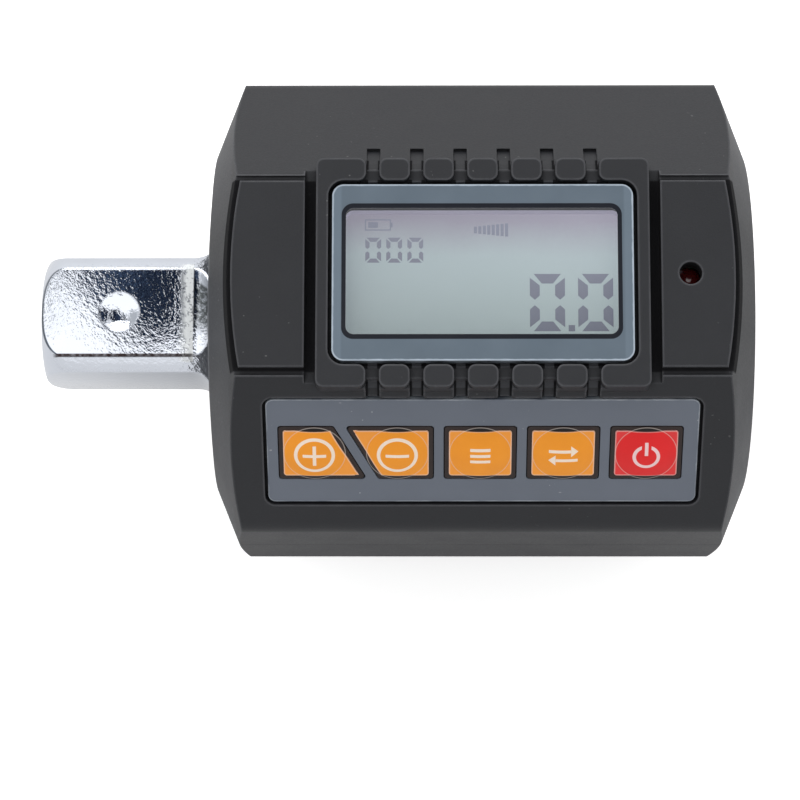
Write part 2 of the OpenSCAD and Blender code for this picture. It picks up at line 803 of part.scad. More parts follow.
// Frame that holds the glass, the backlight and the contact strips over the board
module lcd_holder() {
  color([0.85, 0.85, 0.85]) placed() difference() {
    block(glass_l + 2 * holder_wall, glass_w + 2 * holder_side, board_top, glass_top);
    block(glass_l + 2 * fit, glass_w + 2 * fit, glass_top - glass_t, side);
    slab(backlight_l + 2 * fit, backlight_w + 2 * fit, frame_r + fit,
      glass_top - glass_t - backlight_t, side);
    slab(backlight_l - 4 * holder_wall, backlight_w - 3 * holder_wall, frame_r, 0, side);
    at_strips() block(strip_l + 2 * fit, strip_w + 2 * fit, 0, side);
  }
}

module at_strips() {
  for (s = [-1, 1]) translate([0, s * (glass_w / 2 - strip_w / 2 - 2 * fit), 0]) children();
}

// Elastic strips that connect the glass to the board
module lcd_contact_strips() {
  color([0.85, 0.4, 0.5]) placed() at_strips() block(strip_l, strip_w, board_top, glass_top - glass_t);
}

// Main board over the shaft
module main_board() {
  color([0.1, 0.4, 0.2]) placed() difference() {
    translate([-board_l / 2, -board_front, board_top - board_t])
      cube([board_l, board_front + board_back, board_t]);
    at_board_screws() cylinder(d = small_screw_d + 4 * fit, h = side, $fn = round_fn);
  }
}

// Hangs a chip of a given size under the main board
module under_board(x, y, l, w, t) {
  translate([x, y, 0]) block(l, w, board_top - board_t - t, board_top - board_t);
}

chip_w = 9;
chip_t = 1.4;
amplifier_l = 6;
amplifier_w = 4.4;
crystal_l = 8;
crystal_w = 3.2;
crystal_t = 3;
buzzer_d = 7.5;
buzzer_t = 3.6;
capacitor_l = 2;
capacitor_w = 1.25;
capacitor_t = 1;
capacitor_pitch_share = 0.054;
capacitor_pitch = capacitor_pitch_share * board_l;
capacitor_count = 5;
parts_edge = 1;
chip_x = 5;
chip_y = board_back - parts_edge - chip_w / 2;
amplifier_share = 0.0625;
amplifier_x = amplifier_share * board_l;
amplifier_y = board_front - parts_edge - amplifier_w / 2;
crystal_x = 7;
crystal_y = board_front / 2;
buzzer_share = 0.22;
buzzer_x = buzzer_share * board_l;
buzzer_y = board_back - parts_edge - buzzer_d / 2;
capacitor_share = 0.1875;
capacitor_x = capacitor_share * board_l;
capacitor_y = board_front - parts_edge - capacitor_l / 2;

module microcontroller() {
  color([0.1, 0.1, 0.1]) placed() under_board(chip_x, chip_y, chip_w, chip_w, chip_t);
}

module gauge_amplifier() {
  color([0.1, 0.1, 0.1]) placed() under_board(amplifier_x, -amplifier_y, amplifier_l, amplifier_w, chip_t);
}

module crystal() {
  color([0.75, 0.75, 0.75]) placed() translate([-crystal_x, -crystal_y, board_top - board_t - crystal_t])
    linear_extrude(crystal_t) soft_outline(box_points(crystal_l, crystal_w), 0.45 * crystal_w);
}

module capacitors() {
  color([0.6, 0.5, 0.35]) placed() for (k = [0:capacitor_count - 1])
    under_board(capacitor_x + (k - 0.5) * capacitor_pitch, -capacitor_y,
      capacitor_w, capacitor_l, capacitor_t);
}

// Round buzzer with a sound hole in its face
module buzzer() {
  color([0.12, 0.12, 0.12]) placed()
    translate([-buzzer_x, buzzer_y, board_top - board_t - buzzer_t]) difference() {
      cylinder(d = buzzer_d, h = buzzer_t, $fn = round_fn);
      translate([0, 0, -over]) cylinder(d = buzzer_d / 5, h = over + buzzer_t / 3, $fn = round_fn);
    }
}

// Red alarm lamp on its two legs, behind the hole in the right ear
lamp_d = 3;
lamp_rim_d = 3.6;
lamp_rim_t = 0.8;
lamp_leg = 0.5;
lamp_leg_gap = 1.27;
lamp_body = 3.4;
module alarm_lamp() {
  body_z = inner_side - fit - lamp_d / 2 - lamp_body;
  color([0.6, 0.05, 0.05]) placed() translate([lamp_x, 0, 0]) {
    translate([0, 0, body_z]) cylinder(d = lamp_d, h = lamp_body, $fn = round_fn);
    translate([0, 0, body_z]) cylinder(d = lamp_rim_d, h = lamp_rim_t, $fn = round_fn);
    translate([0, 0, body_z + lamp_body]) intersection() {
      sphere(d = lamp_d, $fn = round_fn);
      block(lamp_d, lamp_d, 0, lamp_d);
    }
    for (s = [-1, 1]) translate([s * lamp_leg_gap, 0, 0])
      block(lamp_leg, lamp_leg, board_top, body_z + lamp_rim_t / 2);
  }
}

// Keys

function key_x(i) = (i - (key_count - 1) / 2) * key_pitch + key_row_x;

// Corners of a key pad grown by a rim, seen from outside, with Y up the slope.
// Keys 0 and 1 share a slanting cut between them; the others are square.
function key_points(i, grow) =
  let (
    top = key_row_v + key_h / 2 + grow,
    low = key_row_v - key_h / 2 - grow,
    left = key_x(i) - key_w / 2 - grow,
    right = key_x(i) + key_w / 2 + grow,
    cut = (key_x(0) + key_x(1)) / 2,
    gap = (key_pitch - key_w) / 2 - grow,
    lean = key_slant / key_h,
    slip = gap * sqrt(1 + lean * lean),
    run = lean * (key_h / 2 + grow)
  )
  i == 0 ? [[left, low], [cut - slip + run, low], [cut - slip - run, top], [left, top]] :
  i == 1 ? [[cut + slip + run, low], [right, low], [right, top], [cut + slip - run, top]] :
  [[left, low], [right, low], [right, top], [left, top]];

// Key panel round the keys
module key_panel() {
  color([0.42, 0.46, 0.52]) placed() on_key_flat() difference() {
    slab(panel_l, panel_h, panel_r, panel_floor, panel_top);
    for (i = [0:key_count - 1]) translate([0, 0, panel_floor - over]) linear_extrude(panel_t + 2 * over)
      soft_outline(key_points(i, key_rim + key_gap), panel_gap);
  }
}

// One key: a rimmed plate, its raised pad with a dome, and the stem through the shell
module key_cap(i) {
  dome_sphere = (pow(dome_d / 2, 2) + pow(dome_h, 2)) / (2 * dome_h);
  plate_low = panel_top - key_plate_t;
  placed() on_key_flat() {
    translate([0, 0, plate_low]) linear_extrude(key_plate_t) soft_outline(key_points(i, key_rim), panel_gap);
    translate([0, 0, plate_low]) linear_extrude(key_plate_t + pad_rise)
      soft_outline(key_points(i, 0), panel_gap);
    intersection() {
      translate([0, 0, panel_top]) linear_extrude(2 * dome_h)
        soft_outline(key_points(i, key_rim), panel_gap);
      translate([key_x(i), key_row_v, panel_top + pad_rise + dome_h - dome_sphere])
        sphere(dome_sphere, $fn = 2 * round_fn);
    }
    translate([key_x(i), key_row_v, switch_top + plunger_out])
      cylinder(d = stem_d, h = plate_low + key_plate_t / 2 - switch_top - plunger_out, $fn = round_fn);
  }
}

switch_top = key_board_top + switch_t;

module key_plus() { color([0.98, 0.55, 0.12]) key_cap(0); }

module key_minus() { color([0.98, 0.55, 0.12]) key_cap(1); }

module key_mode() { color([0.98, 0.55, 0.12]) key_cap(2); }

module key_unit() { color([0.98, 0.55, 0.12]) key_cap(3); }

module key_power() { color([0.88, 0.12, 0.18]) key_cap(4); }

// Plunger of one key switch: it moves with the key above it
module plunger(i) {
  color([0.9, 0.88, 0.8]) placed() on_key_flat() translate([key_x(i), key_row_v, switch_top - plunger_in])
    cylinder(d = plunger_d, h = plunger_in + plunger_out, $fn = round_fn);
}

module plunger_plus() { plunger(0); }

module plunger_minus() { plunger(1); }

module plunger_mode() { plunger(2); }

module plunger_unit() { plunger(3); }

module plunger_power() { plunger(4); }

// Bodies of the five key switches, each with the bore of its plunger
module key_switches() {
  color([0.15, 0.15, 0.15]) placed() on_key_flat() for (i = [0:key_count - 1])
    translate([key_x(i), key_row_v, 0]) difference() {
      block(switch_w, switch_w, key_board_top, switch_top);
      translate([0, 0, switch_top - plunger_in - key_travel - 0.5 * plunger_out])
        cylinder(d = plunger_d + 2 * fit, h = switch_t, $fn = round_fn);
    }
}

// Key board under the sloping flat
module key_board() {
  color([0.1, 0.4, 0.2]) placed() on_key_flat() difference() {
    block(key_board_l, key_board_h, key_board_top - key_board_t, key_board_top);
    at_key_screws() cylinder(d = key_screw_d + 4 * fit, h = side, $fn = round_fn);
    at_key_pins() cylinder(r = key_pin_r + fit, h = side, $fn = round_fn);
  }
}

// Flat ribbon from the key board to the main board
key_ribbon_x = -11.3;
key_ribbon_w = 6;
module key_ribbon() {
  d = (key_board_top - key_board_t - ribbon_t / 2) * sin(45);
  under = board_top - board_t - ribbon_t / 2;
  color([0.8, 0.5, 0.15]) placed() across(key_ribbon_x, key_ribbon_x + key_ribbon_w)
    strip([[-d - ribbon_w / 2, d - ribbon_w / 2], [-d, d], [-board_front, under - ribbon_w / 4],
      [-board_front + ribbon_w / 4, under], [-board_front + ribbon_w / 2, under]], ribbon_t);
}

// Battery cells and their contacts

// One cell: a plain can with its button at the positive end, pointing along +X
module cell() {
  translate([box_half_l - contact_t - cell_l, 0, cell_z]) rotate([0, 90, 0]) {
    cylinder(d = cell_d, h = cell_l - button_l, $fn = round_fn);
    cylinder(d = button_d, h = cell_l, $fn = round_fn);
  }
}

module cell_left() { color([0.2, 0.35, 0.65]) placed() translate([0, cell_y, 0]) cell(); }

module cell_right() { color([0.2, 0.35, 0.65]) placed() translate([0, -cell_y, 0]) mirror([1, 0, 0]) cell(); }

// Centre line of a spring, where u runs from 0 on the contact to 1 at the cell:
// it climbs evenly and narrows from the big radius to the small one
coil_rings = 8;
wire_sides = 6;
function spring_centre(u) =
  let (r = spring_big_r + (spring_small_r - spring_big_r) * u, turn = 360 * spring_coils * u)
  [r * cos(turn), r * sin(turn), spring_wire / 2 + fit / 2 + (spring_l - spring_wire - fit) * u];
spring_rings = coil_rings * spring_coils;

// Smallest gap of the spring to itself, measured between its own centre points
spring_path = [for (k = [0:spring_rings]) spring_centre(k / spring_rings)];
spring_self_gap = min([for (i = [0:spring_rings - coil_rings + 2]) for (j = [i + coil_rings - 2:spring_rings])
  norm(spring_path[i] - spring_path[j])]) - spring_wire;

// One battery spring as a single tube with closed ends, standing on its contact
module spring() { wire(spring_path, [0, 0, 1], spring_wire, wire_sides); }

module battery_springs() {
  echo(spring_self_gap = spring_self_gap);
  color([0.8, 0.8, 0.8]) placed() for (s = [0, 1]) rotate([0, 0, 180 * s])
    translate([-box_half_l + contact_t, cell_y, cell_z]) rotate([0, 90, 0]) spring();
}

// Contact plates at both ends: two with tabs for the leads, one that joins the cells
tab_inset = 1.65;
tab_out = 1.85;
tab_y = box_half_w - tab_inset;
contact_tab_w = 2;
tab_top = cell_z + cell_d / 2 + tab_out;
module battery_contacts() {
  color([0.8, 0.8, 0.78]) placed() {
    for (s = [-1, 1]) translate([-box_half_l, 0, 0]) {
      translate([0, s * cell_y - contact_w / 2, cell_z - contact_h / 2])
        cube([contact_t, contact_w, contact_h]);
      translate([0, s * tab_y - contact_tab_w / 2, cell_z])
        cube([contact_t, contact_tab_w, tab_top - cell_z]);
    }
    translate([box_half_l - contact_t, -cell_y - contact_w / 2, cell_z - contact_h / 2])
      cube([contact_t, 2 * cell_y + contact_w, contact_h / 2]);
    for (s = [-1, 1]) translate([box_half_l - contact_t, s * cell_y - contact_w / 2, cell_z - fit])
      cube([contact_t, contact_w, contact_h / 2]);
  }
}

// Leads from the contact tabs past the saddle to the main board
lead_sides = 8;
module battery_leads() {
  x0 = -box_half_l + contact_t + lead_d / 2;
  board_under = board_top - board_t - lead_d / 2;
  beside = saddle_r + lead_d / 2 + 2 * fit;
  for (s = [-1, 1]) color(s < 0 ? [0.1, 0.1, 0.1] : [0.7, 0.1, 0.1]) placed() wire(soften(soften([
    [x0, s * tab_y, tab_top - lead_d / 2],
    [x0, s * beside, 0.4 * tab_top],
    [x0, s * beside, 0.6 * board_under],
    [x0 + 4 * lead_d, s * 0.9 * board_front, board_under],
    [x0 + 5 * lead_d, s * 0.9 * board_front, board_under]])), [0.6, 0.8, 0], lead_d, lead_sides);
}

// Fasteners

// Pan head screw standing on its head, pointing up
module screw(d, head_d, head_t, l) {
  difference() {
    union() {
      translate([0, 0, -head_t]) cylinder(d = head_d, h = head_t, $fn = round_fn);
      cylinder(d = d, h = l, $fn = round_fn);
    }
    for (a = [0, 90]) rotate(a) block(0.7 * head_d, 0.16 * head_d, -head_t - over, -0.5 * head_t);
  }
}

module housing_screws() {
  color([0.3, 0.3, 0.32]) placed() at_housing_screws() translate([0, 0, -screw_seat])
    screw(screw_d, screw_head_d, screw_head_t, screw_seat + screw_grip);
}

module board_screws() {
  color([0.75, 0.75, 0.75]) placed() at_board_screws() translate([0, 0, board_top - board_t])
    screw(small_screw_d, small_head_d, small_head_t, board_t + small_grip);
}

module key_board_screws() {
  color([0.75, 0.75, 0.75]) placed() on_key_flat() at_key_screws()
    translate([0, 0, key_board_top - key_board_t])
      screw(key_screw_d, key_screw_head_d, key_screw_head_t, key_board_t + wall);
}

front_shell();
back_shell();
battery_door();
torque_shaft();
drive_end_seal();
socket_end_seal();
strain_gauges();
gauge_ribbon();
display_lens();
lcd_glass();
lcd_backlight();
lcd_holder();
lcd_contact_strips();
main_board();
microcontroller();
gauge_amplifier();
crystal();
capacitors();
buzzer();
alarm_lamp();
key_panel();
key_plus();
key_minus();
key_mode();
key_unit();
key_power();
plunger_plus();
plunger_minus();
plunger_mode();
plunger_unit();
plunger_power();
key_switches();
key_board();
key_ribbon();
cell_left();
cell_right();
battery_springs();
battery_contacts();
battery_leads();
housing_screws();
board_screws();
key_board_screws();
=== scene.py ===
import math

import bpy
import numpy as np
from mathutils import Matrix, Vector


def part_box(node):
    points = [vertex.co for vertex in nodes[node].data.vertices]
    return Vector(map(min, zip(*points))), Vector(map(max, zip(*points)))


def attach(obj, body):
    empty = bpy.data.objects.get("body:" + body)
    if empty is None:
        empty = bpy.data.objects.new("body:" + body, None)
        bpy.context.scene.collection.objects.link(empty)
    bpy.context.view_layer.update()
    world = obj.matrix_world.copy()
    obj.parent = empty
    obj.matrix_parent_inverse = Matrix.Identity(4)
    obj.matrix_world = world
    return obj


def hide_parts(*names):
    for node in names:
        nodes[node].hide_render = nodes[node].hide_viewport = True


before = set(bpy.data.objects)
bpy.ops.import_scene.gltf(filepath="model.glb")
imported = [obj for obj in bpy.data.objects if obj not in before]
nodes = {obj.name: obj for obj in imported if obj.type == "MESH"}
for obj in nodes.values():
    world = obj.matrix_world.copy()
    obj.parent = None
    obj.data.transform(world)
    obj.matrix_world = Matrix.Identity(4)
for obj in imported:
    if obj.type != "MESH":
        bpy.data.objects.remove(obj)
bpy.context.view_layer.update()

mm = 0.001

# The middle of the housing on the drive axis
axis = np.array([9.25, 0.0, 24.5]) * mm
print("frame loaded:", len(nodes), "nodes")


# Helpers for shapes

def fromAxis(points):
    # millimetres measured from the middle of the drive axis become metres in the model's frame
    return np.asarray(points, float) * mm + axis


def meshObject(name, points, faces, finish, smooth=True):
    mesh = bpy.data.meshes.new(name)
    spots = np.asarray(points, float).reshape(-1, 3).tolist()
    mesh.from_pydata(spots, [], [list(map(int, face)) for face in faces])
    mesh.validate()
    mesh.polygons.foreach_set("use_smooth", np.full(len(mesh.polygons), smooth))
    mesh.materials.append(finish)
    thing = bpy.data.objects.new(name, mesh)
    bpy.context.scene.collection.objects.link(thing)
    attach(thing, "housing")
    return thing


def ringFaces(rings, sides):
    # quads between rings of points, each ring closed
    i = np.arange(rings - 1)[:, None] * sides
    j = np.arange(sides)[None, :]
    k = (j + 1) % sides
    return np.stack([i + j, i + k, i + sides + k, i + sides + j], -1).reshape(-1, 4).tolist()


def tubeAlong(name, path, radius, finish, sides, aside):
    # p(i, a) = path(i) + radius * (cos a * u(i) + sin a * v(i)), with u and v square to the path's
    # direction, closed at both ends by a cap that domes out by the radius
    path = np.asarray(path, float)
    way = np.gradient(path, axis=0)
    way /= np.linalg.norm(way, axis=1, keepdims=True)
    u = np.cross(way, aside)
    u /= np.linalg.norm(u, axis=1, keepdims=True)
    v = np.cross(way, u)
    bend = np.linspace(0, math.pi / 2, 5)
    grow = np.concatenate([np.sin(bend[1:]), np.ones(len(path) - 2), np.cos(bend[:-1])]) * radius
    reach = np.concatenate([-np.cos(bend[1:]), np.zeros(len(path) - 2), np.sin(bend[:-1])]) * radius
    index = np.concatenate([np.zeros(4, int), np.arange(1, len(path) - 1), np.full(4, len(path) - 1)])
    a = np.linspace(0, 2 * math.pi, sides, endpoint=False)
    ring = np.cos(a)[None, :, None] * u[index][:, None] + np.sin(a)[None, :, None] * v[index][:, None]
    points = path[index][:, None] + grow[:, None, None] * ring + (reach[:, None] * way[index])[:, None]
    rings = len(index)
    ends = [list(range(sides))[::-1], list(range((rings - 1) * sides, rings * sides))]
    return meshObject(name, points, ringFaces(rings, sides) + ends, finish)


# Camera at the photograph's place

# degrees, metres and pixels of a picture 800 wide; middle is the pixel where the middle of the housing lies
shot = {"tilt": 12.2, "turn": 0.87, "distance": 350 * mm, "pixels": 3176.5, "middle": (479.2, 324.2),
        "center": 400, "sensor": 36, "clip": (0.01, 10)}


def lookFrom():
    # the camera's place and its right, up and ahead directions
    tilt, turn = math.radians(shot["tilt"]), math.radians(shot["turn"])
    back = Vector((-math.sin(turn), -math.sin(tilt) * math.cos(turn), math.cos(tilt) * math.cos(turn)))
    spot = Vector(axis) + shot["distance"] * back
    right = (Vector((1, 0, 0)) - back * back.x).normalized()
    up = back.cross(right)
    px, py = shot["middle"]
    ahead = (-back - right * ((px - shot["center"]) / shot["pixels"])
             - up * ((shot["center"] - py) / shot["pixels"])).normalized()
    right = (right - ahead * right.dot(ahead)).normalized()
    return spot, right, right.cross(ahead), ahead


def makeCamera():
    data = bpy.data.cameras.new("camera")
    data.sensor_width, data.sensor_fit = shot["sensor"], "HORIZONTAL"
    data.lens = shot["pixels"] * shot["sensor"] / (2 * shot["center"])
    data.clip_start, data.clip_end = shot["clip"]
    camera = bpy.data.objects.new("camera", data)
    bpy.context.scene.collection.objects.link(camera)
    spot, right, up, ahead = lookFrom()
    camera.matrix_world = Matrix(((right.x, up.x, -ahead.x, spot.x), (right.y, up.y, -ahead.y, spot.y),
                                  (right.z, up.z, -ahead.z, spot.z), (0, 0, 0, 1)))
    bpy.context.scene.camera = camera


makeCamera()


# Helpers for materials

class Wire:
    # one output of a node: the signs + - * / ** and the calls below add Math nodes
    def __init__(self, finish, socket):
        self.finish, self.socket = finish, socket

    def maths(self, operation, *others, clamp=False):
        sockets = dict(enumerate([self.socket] + [o.socket if isinstance(o, Wire) else o for o in others]))
        return self.finish.node("ShaderNodeMath", {"operation": operation, "use_clamp": clamp}, sockets)[0]

    def __add__(self, o): return self.maths("ADD", o)
    def __sub__(self, o): return self.maths("SUBTRACT", o)
    def __mul__(self, o): return self.maths("MULTIPLY", o)
    def __truediv__(self, o): return self.maths("DIVIDE", o)
    def __pow__(self, o): return self.maths("POWER", o)
    def __radd__(self, o): return self.maths("ADD", o)
    def __rmul__(self, o): return self.maths("MULTIPLY", o)
    def __rsub__(self, o): return self.maths("MULTIPLY", -1).maths("ADD", o)
    def absolute(self): return self.maths("ABSOLUTE")
    def least(self, o): return self.maths("MINIMUM", o)
    def most(self, o): return self.maths("MAXIMUM", o)
    def root(self): return self.maths("SQRT")
    def rise(self, low, high): return self.maths("SUBTRACT", low).maths("DIVIDE", high - low, clamp=True)
    def inside(self, soft=0.00002): return self.rise(soft, -soft)
    # past rises from 0 to 1 over a soft edge beyond a limit, short below it, both in millimetres
    def past(self, limit, soft=0.1): return self.rise(limit * mm, (limit + soft) * mm)
    def short(self, limit, soft=0.1): return self.rise(limit * mm, (limit - soft) * mm)


class NodeDesk:
    # adds nodes to one node tree
    def __init__(self, tree):
        self.tree = tree

    def join(self, target, value):
        if isinstance(value, Wire):
            value = value.socket
        if isinstance(value, bpy.types.NodeSocket):
            self.tree.links.new(value, target)
        else:
            target.default_value = value

    def node(self, kind, settings=None, sockets=None):
        # adds one node, its settings first, then the values or links of its sockets; gives its outputs
        made = self.tree.nodes.new(kind)
        for key, value in (settings or {}).items():
            if key == "stops":
                ramp = made.color_ramp
                while len(ramp.elements) < len(value):
                    ramp.elements.new(0.5)
                for element, (place, color) in zip(ramp.elements, value):
                    element.position, element.color = place, (*color, 1)
            else:
                setattr(made, key, value)
        for key, value in (sockets or {}).items():
            self.join(made.inputs[key], value)
        return [Wire(self, o) for o in made.outputs]

    def mix(self, factor, a, b, blend="MIX"):
        a, b = [(*c, 1) if isinstance(c, tuple) and len(c) == 3 else c for c in (a, b)]
        how = {"data_type": "RGBA", "blend_type": blend}
        return self.node("ShaderNodeMix", how, {0: factor, 6: a, 7: b})[2]


class Finish(NodeDesk):
    # a material on Principled BSDF; constants go straight to its sockets
    def __init__(self, name, color, **sockets):
        self.material = bpy.data.materials.new(name)
        self.material.use_nodes = True
        super().__init__(self.material.node_tree)
        self.shader = self.tree.nodes["Principled BSDF"]
        self.put("Base Color", (*color, 1))
        for key, value in sockets.items():
            self.put(key.replace("_", " "), value)

    def put(self, key, value):
        # joins a wire or a value to a socket of the shader
        self.join(self.shader.inputs[key], value)

    def places(self):
        # x, y and z of the object's own coordinates in metres, and all three as one wire
        spot = self.node("ShaderNodeTexCoord")[3]
        return self.node("ShaderNodeSeparateXYZ", None, {0: spot}), spot

    def keyPlaces(self):
        # x along the key flat and v up its slope, in metres from the middle of the drive axis
        (x, y, z), spot = self.places()
        return x - float(axis[0]), (y + (z - float(axis[2]))) * math.sqrt(0.5), spot

    def noise(self, spot, scale, detail=2.0, roughness=0.5):
        return self.node("ShaderNodeTexNoise", {"noise_dimensions": "3D"},
                         {"Vector": spot, "Scale": scale, "Detail": detail, "Roughness": roughness})[0]

    def bump(self, height, distance, strength=1.0, under=None):
        sockets = {"Height": height, "Distance": distance, "Strength": strength}
        if under is not None:
            sockets["Normal"] = under
        return self.node("ShaderNodeBump", None, sockets)[0]

    def roundEdges(self, radius):
        return self.node("ShaderNodeBevel", {"samples": 6}, {"Radius": radius})[0]

    def hollow(self, reach, inside=False):
        # how open a spot is within its reach: low in a groove, or with inside set, low on an outer edge
        return self.node("ShaderNodeAmbientOcclusion", {"samples": 4, "only_local": True, "inside": inside},
                         {"Distance": reach})[1]


def boxField(x, y, cx, cy, halfL, halfW, r):
    # distance to a rounded rectangle: below zero inside it
    qx, qy = (x - cx).absolute() - (halfL - r), (y - cy).absolute() - (halfW - r)
    far = (qx.most(0) ** 2 + qy.most(0) ** 2).root()
    return far + qx.most(qy).least(0) - r


def discField(x, y, cx, cy):
    return ((x - cx) ** 2 + (y - cy) ** 2).root()


def grey(value):
    # a grey or a colour given as 0-255 screen values, in linear light
    v = np.array(value if hasattr(value, "__len__") else [value] * 3, float) / 255
    return tuple(float(c) for c in np.where(v <= 0.04045, v / 12.92, ((v + 0.055) / 1.055) ** 2.4))


# Materials

# the film's darker purple top is painted shade of the frame and its glow is painted light; the window walls
# get a painted pale tone and glow
display = {"top": grey((148, 145, 160)), "middle": grey((170, 186, 190)), "low": grey((154, 173, 172)),
           "body": 0.50, "glow": (0.76, 0.47, 0.25), "paintedGlowStops": (0.10, 0.36, 1.0), "lean": 0.20,
           "leanOver": 14, "wall": grey((150, 146, 162)), "wallGlow": (0.13, 0.125, 0.16),
           "wallBox": (14.35, 7.1, 0.9), "wallHigh": (20.5, 23.86),
           "segmentTop": grey((124, 128, 146)), "segmentLow": grey((78, 85, 106))}

# millimetres from the middle of the drive axis: bands and limits of the grooves round the display frame
grooves = {"flat": 24.5, "sunkDepth": 0.08, "sunkFrom": 22.8, "halfWidth": 10.2, "frameEnd": 17.15,
           "slotPitch": 4.52, "slotHalf": 0.7, "slotLine": 0.22, "slotsEnd": 13.0, "slotFrom": 20.5,
           "frameBand": (9.2, 12.9), "facet": 24.5 * math.sqrt(2), "facetDepth": 0.15,
           "tailBand": (12.25, 14.95), "tailSide": 0.4, "tailFrom": 18.0, "floorEnd": 11.6, "floorTop": 24.2,
           "seam": 0.25, "ends": (25.95, 5.0, 14.0), "black": (0.002, 0.002, 0.003)}


def grooveShade(x, y, z):
    # three masks of the front shell: painted shade in narrow grooves and along the slots, the tails of the
    # slots, and their deeper floors
    along, across, high = (x - float(axis[0])).absolute(), y.absolute(), z - float(axis[2])
    # painted shade below the top flat, beyond the ends of the frame
    sunk = high.short(grooves["flat"] - grooves["sunkDepth"], 0.12) * high.past(grooves["sunkFrom"])
    sunk = sunk * across.short(grooves["halfWidth"], 0.2) * along.past(grooves["frameEnd"])
    # painted shade along the two sides of every slot floor
    pitch = grooves["slotPitch"] * mm
    fromSlot = (((x - float(axis[0])) / pitch).maths("FRACT") - 0.5).absolute() * pitch
    near, far = grooves["frameBand"]
    side = grooves["slotHalf"] - grooves["slotLine"]
    nearSlots = along.short(grooves["slotsEnd"])
    slot = fromSlot.past(side - 0.03, 0.06) * across.past(near) * across.short(far) * nearSlots
    slotFloor = high.past(grooves["slotFrom"])
    slot = slot * (across + high).short(grooves["facet"] - grooves["facetDepth"]) * slotFloor
    # the shallow tails of the slots stay as plain as the facet round them
    start, end = grooves["tailBand"]
    tail = across.past(start, 0.2) * across.short(end + 0.1, 0.2) * nearSlots
    tail = tail * fromSlot.short(grooves["slotHalf"] + grooves["tailSide"]) * high.past(grooves["tailFrom"])
    # the deeper part of each slot floor is painted paler, a painted lift of the shade there
    floor = fromSlot.short(side + 0.03, 0.06) * nearSlots * high.short(grooves["floorTop"]) * slotFloor
    floor = floor * across.past(near) * across.short(grooves["floorEnd"])
    return sunk.most(slot), tail, floor


moulded = {"matt": 0.28, "paler": 1.12, "darker": 0.88, "paintedEdgeHighlight": 3.2, "paintedEndSheen": 1.65, "floor": 2.4,
           "paintedShade": 0.95, "speck": grey(140)}


def mouldedPlastic(name, color, roughness=0.5, edge=0.0003, edgeHighlightStrength=0.8, grooved=False):
    # fine grain, cloudy tone, pale specks, a painted highlight on outer edges, and painted shade in what is
    # narrow
    look = Finish(name, color, Roughness=roughness, Specular_IOR_Level=moulded["matt"])
    (x, y, z), spot = look.places()
    along, high = (x - float(axis[0])).absolute(), z - float(axis[2])
    fine = look.noise(spot, 5200, 3)
    cloud = look.noise(spot, 160, 3, 0.6)
    speck = look.noise(spot, 2600, 0).rise(0.83, 0.86) * look.noise(spot, 70, 0).rise(0.52, 0.6)
    darker, paler = [tuple(c * moulded[k] for c in color) for k in ("darker", "paler")]
    tone = look.mix((cloud - 0.5) * 1.2 + 0.5, darker, paler)
    # painted highlight on outer edges, where rounded edges catch the light, broken up by noise
    paintedEdgeHighlight = look.hollow(0.00024, True).rise(0.95, 0.60) * (look.noise(spot, 700, 2) * 0.7 + 0.45)
    # painted shade in narrow grooves and hollows
    paintedCreviceShade = look.hollow(0.0009).rise(0.85, 0.40)
    if grooved:
        paintedShade, tail, floor = grooveShade(x, y, z)
        paintedEdgeHighlight = paintedEdgeHighlight * (1 - tail * 0.9)
        paintedCreviceShade = (paintedCreviceShade * (1 - tail.most(floor))).most(paintedShade)
        # deeper slot floors painted paler: painted light against their shade
        tone = look.mix(floor, tone, tuple(moulded["floor"] * c for c in color))
    # the sloping ends are painted paler away from the middle: a painted sheen
    start, low, far = grooves["ends"]
    paintedEndSheen = along.past(start, 0.3) * y.absolute().past(low, far - low)
    tone = look.mix(paintedEndSheen, tone, tuple(moulded["paintedEndSheen"] * c for c in color))
    tone = look.mix((paintedEdgeHighlight * edgeHighlightStrength).least(1), tone, tuple(min(1, moulded["paintedEdgeHighlight"] * c + 0.05) for c in color))
    tone = look.mix(speck * 0.3, tone, moulded["speck"])
    # painted shade in narrow grooves, and the dark line where the two shells meet
    seam = high.absolute().short(grooves["seam"] + 0.1, 0.2)
    tone = look.mix(paintedCreviceShade.most(seam * 0.8) * moulded["paintedShade"], tone, grooves["black"])
    if grooved:
        # inside the display window the walls are painted a pale tone and given a glow: painted light on
        # walls that lie in shade
        halfL, halfW, r = [v * mm for v in display["wallBox"]]
        low, top = display["wallHigh"]
        wall = boxField(x, y, float(axis[0]), 0.0, halfL, halfW, r).inside(0.00004)
        wall = wall * high.short(top, 0.03) * high.past(low)
        tone = look.mix(wall, tone, display["wall"])
        look.put("Emission Color", look.mix(wall, (0, 0, 0), display["wallGlow"]))
        look.put("Emission Strength", 1.0)
    look.put("Base Color", tone)
    look.put("Roughness", (fine - 0.5) * 0.18 + (cloud - 0.5) * 0.12 + paintedCreviceShade * 0.45 + roughness)
    look.put("Normal", look.bump(fine, 0.00003, 0.5, look.roundEdges(edge)))
    return look.material


def plainFinish(name, color, roughness=0.4, metallic=0.0, scale=1500, depth=0.00001, vary=0.06, edge=None,
                **more):
    # one colour with a slow cloud and a fine grain
    look = Finish(name, color, Roughness=roughness, Metallic=metallic, **more)
    spot = look.places()[1]
    fine = look.noise(spot, scale, 3)
    cloud = look.noise(spot, scale / 12, 2)
    low, high = [tuple(min(1, c * k) for c in color) for k in (1 - vary, 1 + vary)]
    look.put("Base Color", look.mix(cloud, low, high))
    look.put("Roughness", (fine - 0.5) * 0.2 + roughness)
    look.put("Normal", look.bump(fine, depth, 0.6, look.roundEdges(edge) if edge else None))
    return look.material


